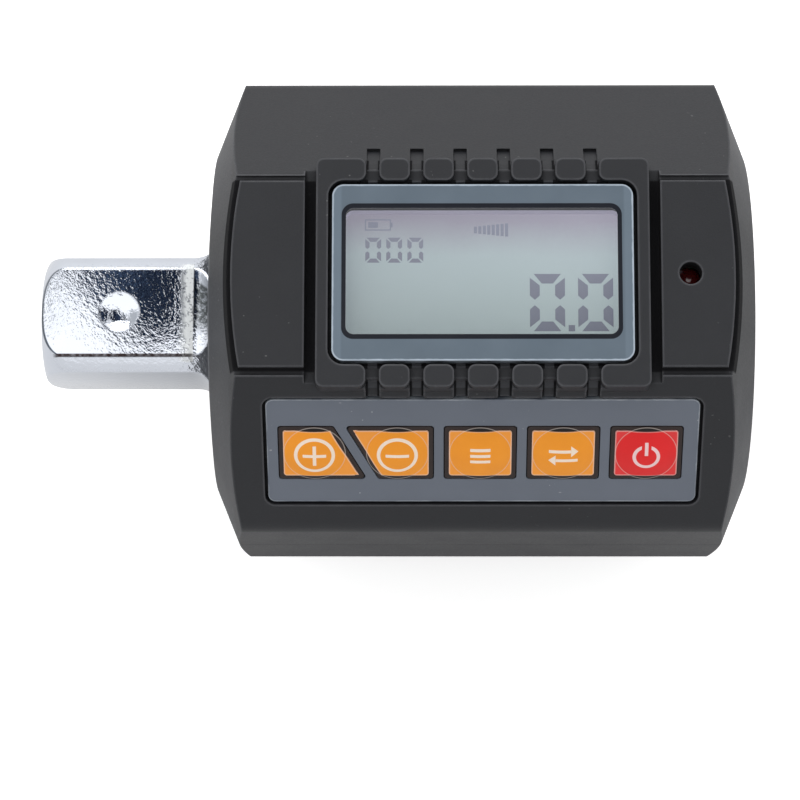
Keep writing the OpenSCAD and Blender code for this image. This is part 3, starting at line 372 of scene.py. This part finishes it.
# millimetres, but depth, crown and edge in metres; x as in the model's frame, y and heights from the axis
# the arc, line and strip colours are painted reflections
chrome = {"peel": (1800, 1250), "depth": 0.000045, "crown": 0.05, "crownX": (-30.5, -19.5, -15.0),
          "roughness": 0.05, "edge": 0.0004, "color": (0.62, 0.65, 0.71), "flat": 6.35, "flatHigh": 5.8,
          "half": 8.0, "tipRound": 2.7, "arcHalf": 0.13, "arcPaintedReflection": (0.03, 0.045, 0.065),
          "line": (-4.92, -4.62), "lineX": (-37.0, -21.0), "linePaintedReflection": (0.03, 0.02, 0.02),
          "runX": -22.0, "runY": (-2.6, 4.0), "runGrey": (0.105, 0.115, 0.118),
          "stripX": (-23.4, -21.72), "stripPaintedReflection": (0.96, 0.99, 1.0)}


def platedSteel():
    # plated metal: fine slanting ripples and a slightly crowned face on every flat of the drive
    look = Finish("platedSteel", chrome["color"], Roughness=chrome["roughness"], Metallic=1.0)
    (x, y, z), spot = look.places()
    high = z - float(axis[2])
    onFlat = high.past(chrome["flatHigh"], 0.2)
    a, b = chrome["peel"]
    slant = look.node("ShaderNodeCombineXYZ", None, {0: (x + y) * a, 1: (y - x) * b, 2: z * a})[0]
    peel = look.noise(slant, 1.0, 2, 0.6)
    wide = look.noise(spot, 260, 1)
    # height of the crown: -r^2 / (2 * crown), with r measured from the middle of the drive
    middle, start, end = chrome["crownX"]
    dx = x.least(start * mm) - middle * mm
    crown = (dx ** 2 + y ** 2 + high ** 2) * x.short(end, end - start) * (-0.5 / chrome["crown"])
    soft = look.bump(crown, 1.0, 1.0, look.roundEdges(chrome["edge"]))
    look.put("Normal", look.bump(peel + wide * 0.5, chrome["depth"], x.short(0, 20) * 0.88 + 0.12, soft))
    tone = look.mix(wide, tuple(c * 0.95 for c in chrome["color"]), tuple(c * 1.04 for c in chrome["color"]))
    # a painted dark reflection on the arc where the upper flat meets the turned tip, which is rounded by
    # tipRound
    r = chrome["tipRound"] * mm
    out = (y ** 2 + (chrome["flat"] * mm) ** 2).root() - (chrome["half"] * mm - r)
    fromArc = (r * r - out ** 2).most(0).root() + x - (float(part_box("torque_shaft")[0].x) + r)
    arc = (fromArc + 0.02 * mm).absolute().short(chrome["arcHalf"] + 0.03, 0.06)
    chord = math.sqrt(chrome["half"] ** 2 - chrome["flat"] ** 2)
    arc = arc * y.absolute().short(chord, 0.04) * high.past(chrome["flatHigh"] - 0.3, 0.2)
    arc = arc * (y.short(3.5, 4.5) * 0.40 + 0.50)
    tone = look.mix(arc * (peel * 0.5 + 0.75).least(1), tone, chrome["arcPaintedReflection"])
    # the run-out behind the upper flat is painted a darker grey
    run = x.past(chrome["runX"], 0.15) * onFlat
    low, top = chrome["runY"]
    run = run * (y + (peel - 0.5) * 0.002).past(low, 1.4) * (y + (x + 21.8 * mm) * 0.9).short(top, 0.3)
    tone = look.mix(run * (peel.rise(0.62, 0.45) * 0.45 + 0.50), tone, chrome["runGrey"])
    # before it a strip painted white and made less metallic: a painted reflection
    start, end = chrome["stripX"]
    strip = x.past(start, 1.0) * x.short(end, 0.14) * onFlat
    strip = (strip * (peel.rise(0.68, 0.50) * 0.7 + 0.3) * 1.2).least(1)
    tone = look.mix(strip, tone, chrome["stripPaintedReflection"])
    look.put("Metallic", 1 - strip * 0.9)
    # a painted dark reflection along the lower edge of the upper flat
    low, top = chrome["line"]
    start, end = chrome["lineX"]
    line = y.past(low - 0.08) * y.short(top + 0.08) * x.short(end, 1.0) * x.past(start, 0.5) * onFlat
    look.put("Base Color", look.mix(line * (peel * 0.6 + 0.62).least(1), tone, chrome["linePaintedReflection"]))
    look.put("Roughness", (peel - 0.5) * 0.08 + chrome["roughness"])
    return look.material


# the edge colour is a painted highlight along the lens's cut edge
lens = {"border": grey((98, 110, 121)), "line": grey((34, 36, 42)), "edge": grey((176, 188, 200)),
        "clear": (0.75, 0.77, 0.82), "corner": 1.2, "lineHalf": (14.38, 7.12, 1.2),
        "windowHalf": (13.92, 6.60, 0.8), "slip": (-0.10, 0.12), "haze": 0.06, "print": 0.3, "slack": 0.7,
        "roughness": 0.16, "rim": 0.20}


def printedLens():
    # printed border with a painted highlight along its cut edge, a dark line round the window, and a clear
    # window with a little haze
    look = Finish("printedLens", lens["border"], Roughness=lens["roughness"], IOR=1.49)
    (x, y, z), spot = look.places()
    lo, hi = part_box("display_lens")
    cx, cy = (lo.x + hi.x) / 2, (lo.y + hi.y) / 2
    outer = boxField(x, y, cx, cy, (hi.x - lo.x) / 2, (hi.y - lo.y) / 2, lens["corner"] * mm)
    px, py = cx + lens["slip"][0] * mm, cy + lens["slip"][1] * mm
    line = boxField(x, y, px, py, *[v * mm for v in lens["lineHalf"]]).inside()
    a, b, r = [v * mm for v in lens["windowHalf"]]
    window = boxField(x, y, px, py, a, b, r).inside()
    # only the top face is printed: below it the clear part reaches further, so the top print hides its edge
    slack = lens["slack"] * mm
    below = boxField(x, y, px, py, a + slack, b + slack, r).inside() * z.short(hi.z / mm - lens["print"])
    line, window = line * (1 - below), window.most(below)
    cloud = look.noise(spot, 240, 3)
    nick = look.noise(spot, 1400, 2)
    # painted highlight along the cut edge, nicked here and there
    rim = (outer + (nick - 0.5) * 0.00012).past(-lens["rim"])
    tone = look.mix(cloud, tuple(c * 0.88 for c in lens["border"]), tuple(c * 1.10 for c in lens["border"]))
    side = (x - cx).absolute().past(lens["lineHalf"][0] + 0.02, 0.2)
    tone = look.mix(side * 0.5, tone, tuple(min(1, c * 1.35) for c in lens["border"]))
    tone = look.mix(rim * (look.noise(spot, 420, 2) * 0.9 + 0.4).least(1), tone, lens["edge"])
    tone = look.mix(line, tone, lens["line"])
    look.put("Base Color", look.mix(window, tone, lens["clear"]))
    look.put("Alpha", window * (lens["haze"] - 1) + 1)
    look.put("Roughness", (cloud - 0.5) * 0.1 + lens["roughness"])
    look.put("Normal", look.bump(look.noise(spot, 900, 2), 0.000004, 0.5))
    return look.material


def displayGlass(name, stops, vary=0.05):
    # a colour that runs down the display, with the fine speckle of its rear film
    lo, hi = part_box("lcd_glass")
    look = Finish(name, stops[0][1], Roughness=0.35)
    (x, y, _), spot = look.places()
    down = (y - float(hi.y)) / float(lo.y - hi.y)
    speck = look.noise(spot, 3800, 2) - 0.5
    drift = look.noise(spot, 120, 2) - 0.5
    tone = look.node("ShaderNodeValToRGB", {"stops": stops}, {0: down + drift * 0.12 + speck * 0.05})[0]
    tone = look.mix(speck * vary * 4 + 0.5, look.mix(1.0, tone, (0.93, 0.93, 0.93), "MULTIPLY"), tone)
    # painted glow: the film glows, the upper part, which lies in the frame's shade, more than the rest, and
    # the glow grows towards +X
    high, mid, low = display["glow"]
    a, b, c = display["paintedGlowStops"]
    glow = down.rise(a, b) * (mid - high) + down.rise(b, c) * (low - mid) + high
    glow = glow * ((x - float(axis[0])) * (display["lean"] / (display["leanOver"] * mm)) + 1)
    look.put("Base Color", look.mix(display["body"], (0, 0, 0), tone))
    look.put("Emission Color", look.mix(glow, (0, 0, 0), tone))
    look.put("Emission Strength", 1.0)
    return look.material


# the edge colour is a painted highlight along the film's cut edge
panel = {"face": grey((99, 106, 118)), "edge": grey((165, 172, 180)), "speck": grey(190),
         "half": (22.35, 6.45, 0.8), "rim": 0.14}


def panelFilm():
    # matt film with a painted highlight along its cut edge, nicked here and there
    look = Finish("panelFilm", panel["face"], Roughness=0.42)
    x, v, spot = look.keyPlaces()
    cloud = look.noise(spot, 200, 3)
    nick = look.noise(spot, 1300, 2)
    edge = boxField(x, v, 0.0, 0.0, *[size * mm for size in panel["half"]])
    rim = (edge + (nick - 0.5) * 0.00014).past(-panel["rim"]) * look.noise(spot, 330, 2).rise(0.30, 0.62)
    tone = look.mix(cloud, tuple(c * 0.9 for c in panel["face"]), tuple(c * 1.08 for c in panel["face"]))
    speck = look.noise(spot, 2600, 0).rise(0.82, 0.85) * look.noise(spot, 120, 0).rise(0.5, 0.6)
    look.put("Base Color", look.mix(speck * 0.4, look.mix(rim, tone, panel["edge"]), panel["speck"]))
    look.put("Normal", look.bump(look.noise(spot, 4200, 3), 0.00002, 0.4, look.roundEdges(0.00012)))
    return look.material


# millimetres on the key flat, from the middle of the housing or of the key
# the pad's edge colour and the dome ring colour are painted highlights; the gap colour is painted shade
keys = {"pitch": 8.6, "row": (-0.2, -0.2), "half": (3.25, 2.825), "corner": 0.3, "slant": 2.9,
        "space": 1.05, "rim": grey((43, 33, 31)), "orange": grey((255, 158, 42)), "red": grey((233, 38, 40)),
        "creamMark": grey((255, 236, 216)), "pinkMark": grey((250, 214, 214)), "padEdgeHighlight": (0.95, 0.85, 0.78),
        "dome": 3.2, "domeLine": 0.035, "ring": (0.75, 0.66, 0.60), "gap": (0.006, 0.004, 0.004),
        "roughness": 0.46}
marks = {"stroke": 0.18, "ring": 1.95, "arm": 1.22, "line": 1.05, "linePitch": 0.72, "corner": 0.05,
         "arrowSlip": (0.25, 0.55), "shaft": (-0.1, 1.15, 0.04), "head": (1.05, 0.75, 1.15, 0.7),
         "small": (1.25, -0.12), "opening": (1.2, 0.5, 0.9), "upright": (0.85, 0.78)}


def keySign(kind, x, v):
    # distance field of the generic sign printed on a key, in metres from the middle of the key
    s, corner = marks["stroke"] * mm, marks["corner"] * mm
    arm = marks["arm"] * mm
    ring = (discField(x, v, 0.0, 0.0) - marks["ring"] * mm).absolute() - s
    if kind == "plus":
        upright = boxField(x, v, 0.0, 0.0, s, arm, corner)
        return ring.least(boxField(x, v, 0.0, 0.0, arm, s, corner)).least(upright)
    if kind == "minus":
        return ring.least(boxField(x, v, 0.0, 0.0, arm, s, corner))
    if kind == "mode":
        # three level lines
        half, step = marks["line"] * mm, marks["linePitch"] * mm
        lines = [boxField(x, v, 0.0, k * step, half, s, corner) for k in (-1, 0, 1)]
        return lines[0].least(lines[1]).least(lines[2])
    if kind == "unit":
        # two arrows that point opposite ways: a line and a head of three straight sides each
        slipX, slipV = [n * mm for n in marks["arrowSlip"]]
        middle, half, r = [n * mm for n in marks["shaft"]]
        foot, tip = [n * mm for n in marks["head"][:2]]
        steep, slow = marks["head"][2:]
        arrows = []
        for way in (1, -1):
            ax, av = (x + way * slipX) * way, (v - way * slipV) * way
            line = boxField(ax, av, middle, 0.0, half, s, r)
            head = ((ax - foot) + av.absolute() * steep - tip).most(foot - ax) * slow
            arrows.append(line.least(head))
        return arrows[0].least(arrows[1])
    # an open ring with a line in its gap
    r, low = [n * mm for n in marks["small"]]
    small = (discField(x, v, 0.0, low) - r).absolute() - s
    gap = boxField(x, v, 0.0, *[n * mm for n in marks["opening"]], corner)
    middle, half = [n * mm for n in marks["upright"]]
    return small.most(gap * -1).least(boxField(x, v, 0.0, middle, s, half, corner))


def keyPad(i, x, v, kx, kv):
    # distance field of the coloured pad; the first two keys share a slanting cut
    halfL, halfH = keys["half"][0] * mm, keys["half"][1] * mm
    corner = keys["corner"] * mm
    if i > 1:
        return boxField(x, v, kx, kv, halfL, halfH, corner)
    lean = keys["slant"] * mm / (2 * halfH)
    cut = (-1.5 * keys["pitch"] + keys["row"][0]) * mm
    side = -1 if i == 0 else 1
    slip = keys["space"] * mm * math.hypot(1, lean) * side
    slant = ((x - (cut + slip)) + (v - kv) * lean) * (-side / math.hypot(1, lean))
    return boxField(x, v, kx - side * halfL, kv, 2 * halfL, halfH, corner).most(slant)


def keyFilm(i, kind, color, mark):
    # black rim, coloured pad with its sign, painted highlights on the pad's edge, beyond the dome and on the
    # line round the dome, and a painted dark crescent of shade
    look = Finish("keyFilm_" + kind, color, Roughness=keys["roughness"], Specular_IOR_Level=0.3)
    x, v, spot = look.keyPlaces()
    kx, kv = ((i - 2) * keys["pitch"] + keys["row"][0]) * mm, keys["row"][1] * mm
    pad = keyPad(i, x, v, kx, kv)
    grain = look.noise(spot, 2600, 3)
    cloud = look.noise(spot, 420, 2)
    dx, dv = x - kx, v - kv
    domeEdge = discField(dx, dv, 0.0, 0.0) - keys["dome"] * mm
    onRing = (domeEdge.absolute() - keys["domeLine"] * mm).inside(0.00003)
    # the film stands off the pad's edges inside the dome's circle; the dark crescent painted there is shade
    gap = domeEdge.inside(0.00004) * dv.absolute().past(keys["half"][1] - 0.08, 0.06)
    # the pad is painted lighter beyond the dome's edge: a painted highlight
    paintedWingHighlight = domeEdge.past(-0.2, 0.4)
    tone = look.mix(cloud, tuple(c * 0.93 for c in color), tuple(min(1, c * 1.06) for c in color))
    tone = look.mix(paintedWingHighlight * 0.22, tone, tuple(min(1, 0.85 * c + 0.12) for c in color))
    tone = look.mix(keySign(kind, dx, dv).inside(), tone, mark)
    # a painted highlight along the pad's edge
    edge = (pad + (grain - 0.5) * 0.00005).past(-0.16, 0.12)
    tone = look.mix(edge * 0.45, tone, keys["padEdgeHighlight"])
    tone = look.mix(pad.inside(), keys["rim"], tone)
    tone = look.mix(gap, tone, keys["gap"])
    # the line round the dome is a painted highlight
    look.put("Base Color", look.mix(onRing * 0.50, tone, keys["ring"]))
    look.put("Roughness", (grain - 0.5) * 0.15 + keys["roughness"])
    look.put("Normal", look.bump(grain, 0.00001, 0.5, look.roundEdges(0.0001)))
    return look.material


board = {"mask": (0.02, 0.16, 0.07), "dark": (0.012, 0.12, 0.05), "track": (0.04, 0.28, 0.10), "pitch": 900}


def circuitBoard(name):
    # green mask over fine copper tracks, along in some zones and across in the others
    look = Finish(name, board["mask"], Roughness=0.3)
    (x, y, z), spot = look.places()
    a = (x * board["pitch"] + look.noise(spot, 60, 0) * 6).maths("SINE").rise(0.55, 0.7)
    b = ((y + z) * board["pitch"] + look.noise(spot, 50, 0) * 6).maths("SINE").rise(0.6, 0.75)
    zone = look.noise(spot, 110, 0).rise(0.48, 0.5)
    track = a * zone + b * (1 - zone)
    look.put("Base Color", look.mix(track.least(1), board["dark"], board["track"]))
    look.put("Normal", look.bump(track, 0.00003, 0.6))
    return look.material


sleeve = {"end": 1.6, "shoulder": 13.1, "tail": 0.5, "dark": (0.016, 0.02, 0.03),
          "copper": (0.55, 0.27, 0.10), "bare": (0.72, 0.72, 0.70)}


def cellSleeve(name, turned):
    # shrunk sleeve in two plain tones: a copper-coloured shoulder at the button end, bare steel ends
    lo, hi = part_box(name)
    look = Finish("sleeve_" + name, sleeve["dark"], Roughness=0.3)
    (x, _, _), spot = look.places()
    along = (x - lo.x) if turned else (hi.x - x)
    bare = along.short(sleeve["end"]).most((along - (hi.x - lo.x)).past(-sleeve["tail"]))
    shoulder = along.short(sleeve["shoulder"])
    tone = look.mix(shoulder, sleeve["dark"], sleeve["copper"])
    look.put("Base Color", look.mix(bare, tone, sleeve["bare"]))
    look.put("Metallic", bare.most(shoulder * 0.6))
    look.put("Normal", look.bump(look.noise(spot, 700, 2), 0.00002, 0.4, look.roundEdges(0.0005)))
    return look.material


ribbon = {"film": (0.55, 0.25, 0.05), "between": (0.42, 0.16, 0.03), "line": (0.75, 0.38, 0.12),
          "pitch": 0.8}


def flatRibbon(name):
    # amber film over narrow copper lines
    look = Finish(name, ribbon["film"], Roughness=0.3, Coat_Weight=0.4)
    x = look.places()[0][0]
    line = (x * (2 * math.pi / (ribbon["pitch"] * mm))).maths("SINE").rise(-0.1, 0.2)
    look.put("Base Color", look.mix(line, ribbon["between"], ribbon["line"]))
    look.put("Normal", look.bump(line, 0.00003, 0.6))
    return look.material


shellDark = mouldedPlastic("shellPlastic", grey((37, 38, 41.5)), grooved=True)
shellBack = mouldedPlastic("backPlastic", grey((37, 38, 41.5)))
doorPlastic = mouldedPlastic("doorPlastic", grey((35, 36, 39)))
steel = platedSteel()
tin = plainFinish("tinnedMetal", (0.72, 0.72, 0.70), 0.28, 1.0, 900, 0.00001, edge=0.00015)
springSteel = plainFinish("springSteel", (0.74, 0.73, 0.70), 0.2, 1.0, 1200, 0.000006)
screwSteel = plainFinish("screwSteel", (0.10, 0.10, 0.11), 0.3, 1.0, 1500, 0.000008, edge=0.0002)
sealRubber = plainFinish("sealRubber", (0.012, 0.012, 0.013), 0.55, 0.0, 900, 0.00001)
# the holder's glow is painted light that lifts it out of the shade in the display window
holderPlasticPaintedGlow = plainFinish("holderPlasticPaintedGlow", (0.80, 0.79, 0.82), 0.35, 0.0, 2200, 0.00001, edge=0.0002,
                            Emission_Color=(0.66, 0.64, 0.74, 1), Emission_Strength=0.20)
white = plainFinish("whitePlastic", (0.78, 0.80, 0.80), 0.35, 0.0, 2200, 0.00001, edge=0.0002)
stripRubber = plainFinish("stripRubber", (0.62, 0.22, 0.28), 0.6, 0.0, 1800, 0.00001)
chipEpoxy = plainFinish("chipEpoxy", (0.016, 0.016, 0.018), 0.5, 0.0, 4000, 0.00001, edge=0.00015)
ceramic = plainFinish("firedCeramic", (0.42, 0.29, 0.17), 0.35, 0.0, 2500, 0.000006)
lampRed = plainFinish("lampRed", (0.09, 0.005, 0.005), 0.22, 0.0, 600, 0.000004, Coat_Weight=0.5)
foil = plainFinish("gaugeFoil", (0.50, 0.33, 0.13), 0.35, 0.5, 2600, 0.00001)
plungerPlastic = plainFinish("plungerPlastic", (0.70, 0.66, 0.55), 0.4, 0.0, 2400, 0.00001, edge=0.0002)
redLead = plainFinish("redLead", (0.45, 0.015, 0.012), 0.38, 0.0, 900, 0.00001)
blackLead = plainFinish("blackLead", (0.02, 0.02, 0.022), 0.38, 0.0, 900, 0.00001)

filmStops = [(0.0, display["top"]), (0.12, display["top"]), (0.36, display["middle"]),
             (1.0, display["low"])]
finishes = {
    "front_shell": shellDark, "back_shell": shellBack, "battery_door": doorPlastic, "torque_shaft": steel,
    "drive_end_seal": sealRubber, "socket_end_seal": sealRubber, "strain_gauges": foil,
    "gauge_ribbon": flatRibbon("gaugeRibbonFilm"), "key_ribbon": flatRibbon("keyRibbonFilm"),
    "lcd_glass": displayGlass("displayFilm", filmStops),
    "lcd_backlight": white, "lcd_holder": holderPlasticPaintedGlow, "lcd_contact_strips": stripRubber,
    "main_board": circuitBoard("mainBoardMask"), "key_board": circuitBoard("keyBoardMask"),
    "microcontroller": chipEpoxy, "gauge_amplifier": chipEpoxy, "buzzer": chipEpoxy,
    "key_switches": chipEpoxy, "crystal": tin, "capacitors": ceramic, "alarm_lamp": lampRed,
    "key_panel": panelFilm(), "display_lens": printedLens(),
    "cell_left": cellSleeve("cell_left", False), "cell_right": cellSleeve("cell_right", True),
    "battery_contacts": tin, "battery_springs": springSteel, "battery_leads": redLead,
    "housing_screws": screwSteel, "board_screws": tin, "key_board_screws": tin,
}
signs = ["plus", "minus", "mode", "unit", "power"]
for i, kind in enumerate(signs):
    color, mark = ("red", "pinkMark") if kind == "power" else ("orange", "creamMark")
    finishes["key_" + kind] = keyFilm(i, kind, keys[color], keys[mark])
    finishes["plunger_" + kind] = plungerPlastic
for name, node in nodes.items():
    for place in node.material_slots:
        place.material = finishes[name]
print("materials on", len(finishes), "nodes")


# Figures on the display: flat shapes laid just above the glass, placed by spots of the picture

figures = {"small": {"row": 250.2, "spots": (373.2, 394.15, 415.3), "size": (1.64, 2.66, 0.44, 0.16)},
           "large": {"row": 302.5, "spots": (547.5, 595.75), "size": (3.62, 6.05, 1.02, 0.2)},
           "point": {"spot": (571.9, 328.2), "half": 0.33},
           "battery": {"spot": (377.9, 225.0), "halfL": 1.35, "halfH": 0.6, "line": 0.12,
                       "button": (0.17, 0.25), "charge": (-1.0, -0.3, 0.0, 0.3)},
           "signal": {"spot": (491, 230.0), "bars": 8, "pitch": 0.46, "half": (0.16, 0.35), "grow": 0.05},
           "sideFoot": 0.72, "sideTip": 0.28, "lift": 0.012}


def zero(cx, cy, w, h, t, gap):
    # the six outer bars of a seven-bar figure: top, low, and two on each side, mitred at 45 degrees
    g = gap * t
    a, b = w / 2, h / 2
    foot, tip = figures["sideFoot"] * t, figures["sideTip"] * t
    top = np.array([[-a + 2 * g, b], [-a + t + g, b - t], [a - t - g, b - t], [a - 2 * g, b]])
    side = np.array([[a, b - 2 * g], [a - t, b - t - g], [a - t, foot], [a - t / 2, tip], [a, foot]])
    parts = [top, top[::-1] * [1, -1], side[::-1], side * [1, -1], side * [-1, 1], side[::-1] * [-1, -1]]
    return [p + [cx, cy] for p in parts]


def photoSpot(px, py, height):
    # where a spot of the picture lies on a level plane, height millimetres above the drive axis
    spot, right, up, ahead = lookFrom()
    ray = ahead * shot["pixels"] + right * (px - shot["center"]) + up * (shot["center"] - py)
    reach = (float(axis[2]) + height * mm - spot.z) / ray.z
    return (spot.x + ray.x * reach - float(axis[0])) / mm, (spot.y + ray.y * reach) / mm


def plate(a, b, c, d):
    # corners of a level rectangle from (a, b) to (c, d)
    return np.array([[a, b], [c, b], [c, d], [a, d]])


def signedArea(p):
    # above zero where the corners run round to the left
    return np.sum(p[:, 0] * np.roll(p[:, 1], -1) - np.roll(p[:, 0], -1) * p[:, 1]) / 2


def batterySign():
    # four sides, the small end and the charge
    sign = figures["battery"]
    a, b, t = sign["halfL"], sign["halfH"], sign["line"]
    length, half = sign["button"]
    return [plate(-a, -b, a, t - b), plate(-a, b - t, a, b), plate(-a, t - b, t - a, b - t),
            plate(a - t, t - b, a, b - t), plate(a, -half, a + length, half), plate(*sign["charge"])]


def displayFigures():
    level = float(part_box("lcd_glass")[1].z - axis[2]) / mm
    shapes = []
    for kind in ("small", "large"):
        row = figures[kind]
        for spot in row["spots"]:
            shapes += zero(*photoSpot(spot, row["row"], level), *row["size"])
    half = figures["point"]["half"]
    shapes.append(plate(-half, -half, half, half) + photoSpot(*figures["point"]["spot"], level))
    shapes += [p + photoSpot(*figures["battery"]["spot"], level) for p in batterySign()]
    signal = figures["signal"]
    gx, gy = photoSpot(*signal["spot"], level)
    for k in range(signal["bars"]):
        a, b = signal["half"][0], signal["half"][1] + signal["grow"] * k
        shapes.append(plate(-a, -b, a, b) + [gx + (k - (signal["bars"] - 1) / 2) * signal["pitch"], gy])
    # every face is turned to look up
    shapes = [p if signedArea(p) > 0 else p[::-1] for p in shapes]
    flat = np.concatenate(shapes)
    points = np.column_stack([flat, np.full(len(flat), level + figures["lift"])])
    faces = [range(end - len(p), end) for p, end in zip(shapes, np.cumsum([len(p) for p in shapes]))]
    # the figures take the display's painted glow too, and are darker towards the bottom
    ink = displayGlass("displayFigures", [(0.2, display["segmentTop"]), (0.9, display["segmentLow"])], 0.03)
    meshObject("displayFigures", fromAxis(points), faces, ink, smooth=False)


displayFigures()
print("display figures placed")


# Battery springs and leads, as round wire

# millimetres from the middle of the drive axis
springs = {"wide": 3.2, "narrow": 2.0, "turns": 4, "wire": 0.25, "start": (-24.4, 5.6, -16.9), "gap": 0.3,
           "boxHalf": 24.75, "contact": 0.35, "cell": 44.5, "steps": 161}
leads = {"corners": [[-23.8, 9.6, -10.4], [-23.8, 12.9, -3.92], [-23.8, 12.9, 8.16], [-19.0, 9.397, 13.6],
                     [-17.8, 9.397, 13.6]], "radius": 0.6, "cuts": 4}


def springWire(side):
    # radius = wide - (wide - narrow) * u, angle = 360 * turns * u, rising evenly from contact to cell
    u = np.linspace(0, 1, springs["steps"])
    r = springs["wide"] - (springs["wide"] - springs["narrow"]) * u
    turn = 2 * math.pi * springs["turns"] * u
    room = 2 * (springs["boxHalf"] - springs["contact"]) - springs["cell"]
    x, y, z = springs["start"]
    local = np.stack([x + springs["gap"] + (room - 2 * springs["gap"]) * u, y + r * np.sin(turn),
                      z - r * np.cos(turn)], -1)
    return fromAxis(local * [-1, -1, 1] if side else local)


for side in (0, 1):
    spring = tubeAlong("springWire_%d" % side, springWire(side), springs["wire"] * mm, springSteel,
                       sides=10, aside=(1.0, 0.0, 0.0))
    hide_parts("battery_springs")


def leadPath(side):
    # each inner corner is cut again and again for a soft curve
    p = np.array(leads["corners"])
    for _ in range(leads["cuts"]):
        inner = np.stack([(p[:-2] + 3 * p[1:-1]) / 4, (3 * p[1:-1] + p[2:]) / 4], 1).reshape(-1, 3)
        p = np.concatenate([p[:1], inner, p[-1:]])
    return fromAxis(p * [1, side, 1])


for name, side, finish in (("lead_red", 1, redLead), ("lead_black", -1, blackLead)):
    lead = tubeAlong(name, leadPath(side), leads["radius"] * mm, finish,
                     sides=14, aside=(0.6, 0.8, 0.0))
    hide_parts("battery_leads")
print("springs and leads made")


# Floor, world and lamps

studio = {"level": 0.98, "lean": 0.50, "floor": 0.84, "floorHalf": 2.5, "floorDrop": 0.0002,
          "floorGlow": 0.60, "mirrorGlow": 0.03, "mirrorSky": 1.60, "mirrorLow": 0.96,
          "lampPower": 1.5, "lampSize": 0.45, "lampSpot": (-0.10, 0.55, 0.50)}
# dark patches that mirrors see; slant is a direction, each other pair is where an edge starts and ends
patches = {"dark": (0.006, 0.009, 0.018), "blue": (0.06, 0.09, 0.15), "grey": (0.42, 0.43, 0.44),
           "slant": (0.74, 0.67), "slantEdge": (0.015, 0.075), "nearEnd": (0.29, 0.23),
           "farStart": (0.31, 0.35), "farEnd": (0.75, 0.65), "low": (0.035, 0.075), "high": (0.62, 0.52),
           "horizon": (0.0, 0.04),
           "frontSides": (0.42, 0.34), "frontTop": (-0.50, -0.54), "frontLow": (-0.86, -0.80),
           "leftSide": (-0.38, -0.42), "leftLow": (0.138, 0.162)}


def makeFloor():
    look = Finish("floorPaint", (studio["floor"],) * 3, Roughness=0.9)
    path = look.node("ShaderNodeLightPath")
    seen = path[0] * studio["floorGlow"] + (path[3] + path[6]) * studio["mirrorGlow"]
    glow = look.node("ShaderNodeEmission", None, {"Color": (1, 1, 1, 1), "Strength": seen})[0]
    both = look.node("ShaderNodeAddShader", None, {0: Wire(look, look.shader.outputs[0]), 1: glow})[0]
    look.join(look.tree.nodes["Material Output"].inputs["Surface"], both)
    a, z = studio["floorHalf"], -studio["floorDrop"]
    mesh = bpy.data.meshes.new("floor")
    mesh.from_pydata([(-a, -a, z), (a, -a, z), (a, a, z), (-a, a, z)], [], [(0, 1, 2, 3)])
    mesh.materials.append(look.material)
    floor = bpy.data.objects.new("floor", mesh)
    bpy.context.scene.collection.objects.link(floor)


def makeWorld():
    # soft dome, brighter towards +Y; mirror-like surfaces see a brighter sky with dark patches overhead
    world = bpy.data.worlds.new("studio")
    bpy.context.scene.world = world
    world.use_nodes = True
    sky = NodeDesk(world.node_tree)
    sky.tree.nodes.clear()
    x, y, z = sky.node("ShaderNodeSeparateXYZ", None, {0: sky.node("ShaderNodeTexCoord")[0]})
    path = sky.node("ShaderNodeLightPath")
    level = (y * studio["lean"] + 1.0).most(0.1) * studio["level"]
    # overhead: dark beyond a slanting line, up to a pale gap and again further towards +X
    a, b = patches["slant"]
    above = (x * a + y * b).rise(*patches["slantEdge"])
    far = x.rise(*patches["farStart"]) * x.rise(*patches["farEnd"])
    above = above * x.rise(*patches["nearEnd"]).most(far)
    above = above * y.rise(*patches["low"]) * y.rise(*patches["high"])
    # a band towards -Y, and the far left
    front = x.absolute().rise(*patches["frontSides"])
    front = front * y.rise(*patches["frontTop"]) * y.rise(*patches["frontLow"])
    horizon = z.rise(*patches["horizon"])
    left = x.rise(*patches["leftSide"]) * y.rise(*patches["leftLow"]) * horizon
    dark = above.most(front) * horizon
    bright = z.rise(0.2, 0.7) * (studio["mirrorSky"] - studio["mirrorLow"]) + studio["mirrorLow"]
    isMirror = path[3] * (1 - path[2])
    both = level * (1 - isMirror) + bright * isMirror
    patch = sky.node("ShaderNodeTexNoise", {"noise_dimensions": "3D"}, {"Scale": 9.0, "Detail": 2.0})[0]
    tint = sky.mix(patch.rise(0.50, 0.74), patches["dark"], patches["blue"])
    tint = sky.mix(left * isMirror, sky.mix(dark * isMirror, (1, 1, 1), tint), patches["grey"])
    glow = sky.node("ShaderNodeBackground", None, {"Color": tint, "Strength": both.most(path[0])})[0]
    sky.node("ShaderNodeOutputWorld", None, {"Surface": glow})


def makeLamp(name, spot, size, power):
    data = bpy.data.lights.new(name, "AREA")
    data.shape, data.size, data.energy = "DISK", size, power
    lamp = bpy.data.objects.new(name, data)
    lamp.location = spot
    lamp.rotation_mode = "QUATERNION"
    lamp.rotation_quaternion = (Vector(axis) - Vector(spot)).to_track_quat("-Z", "Y")
    bpy.context.scene.collection.objects.link(lamp)


makeFloor()
makeWorld()
makeLamp("softLamp", studio["lampSpot"], studio["lampSize"], studio["lampPower"])
bpy.context.scene.view_settings.view_transform = "Standard"
print("camera, floor and light set")
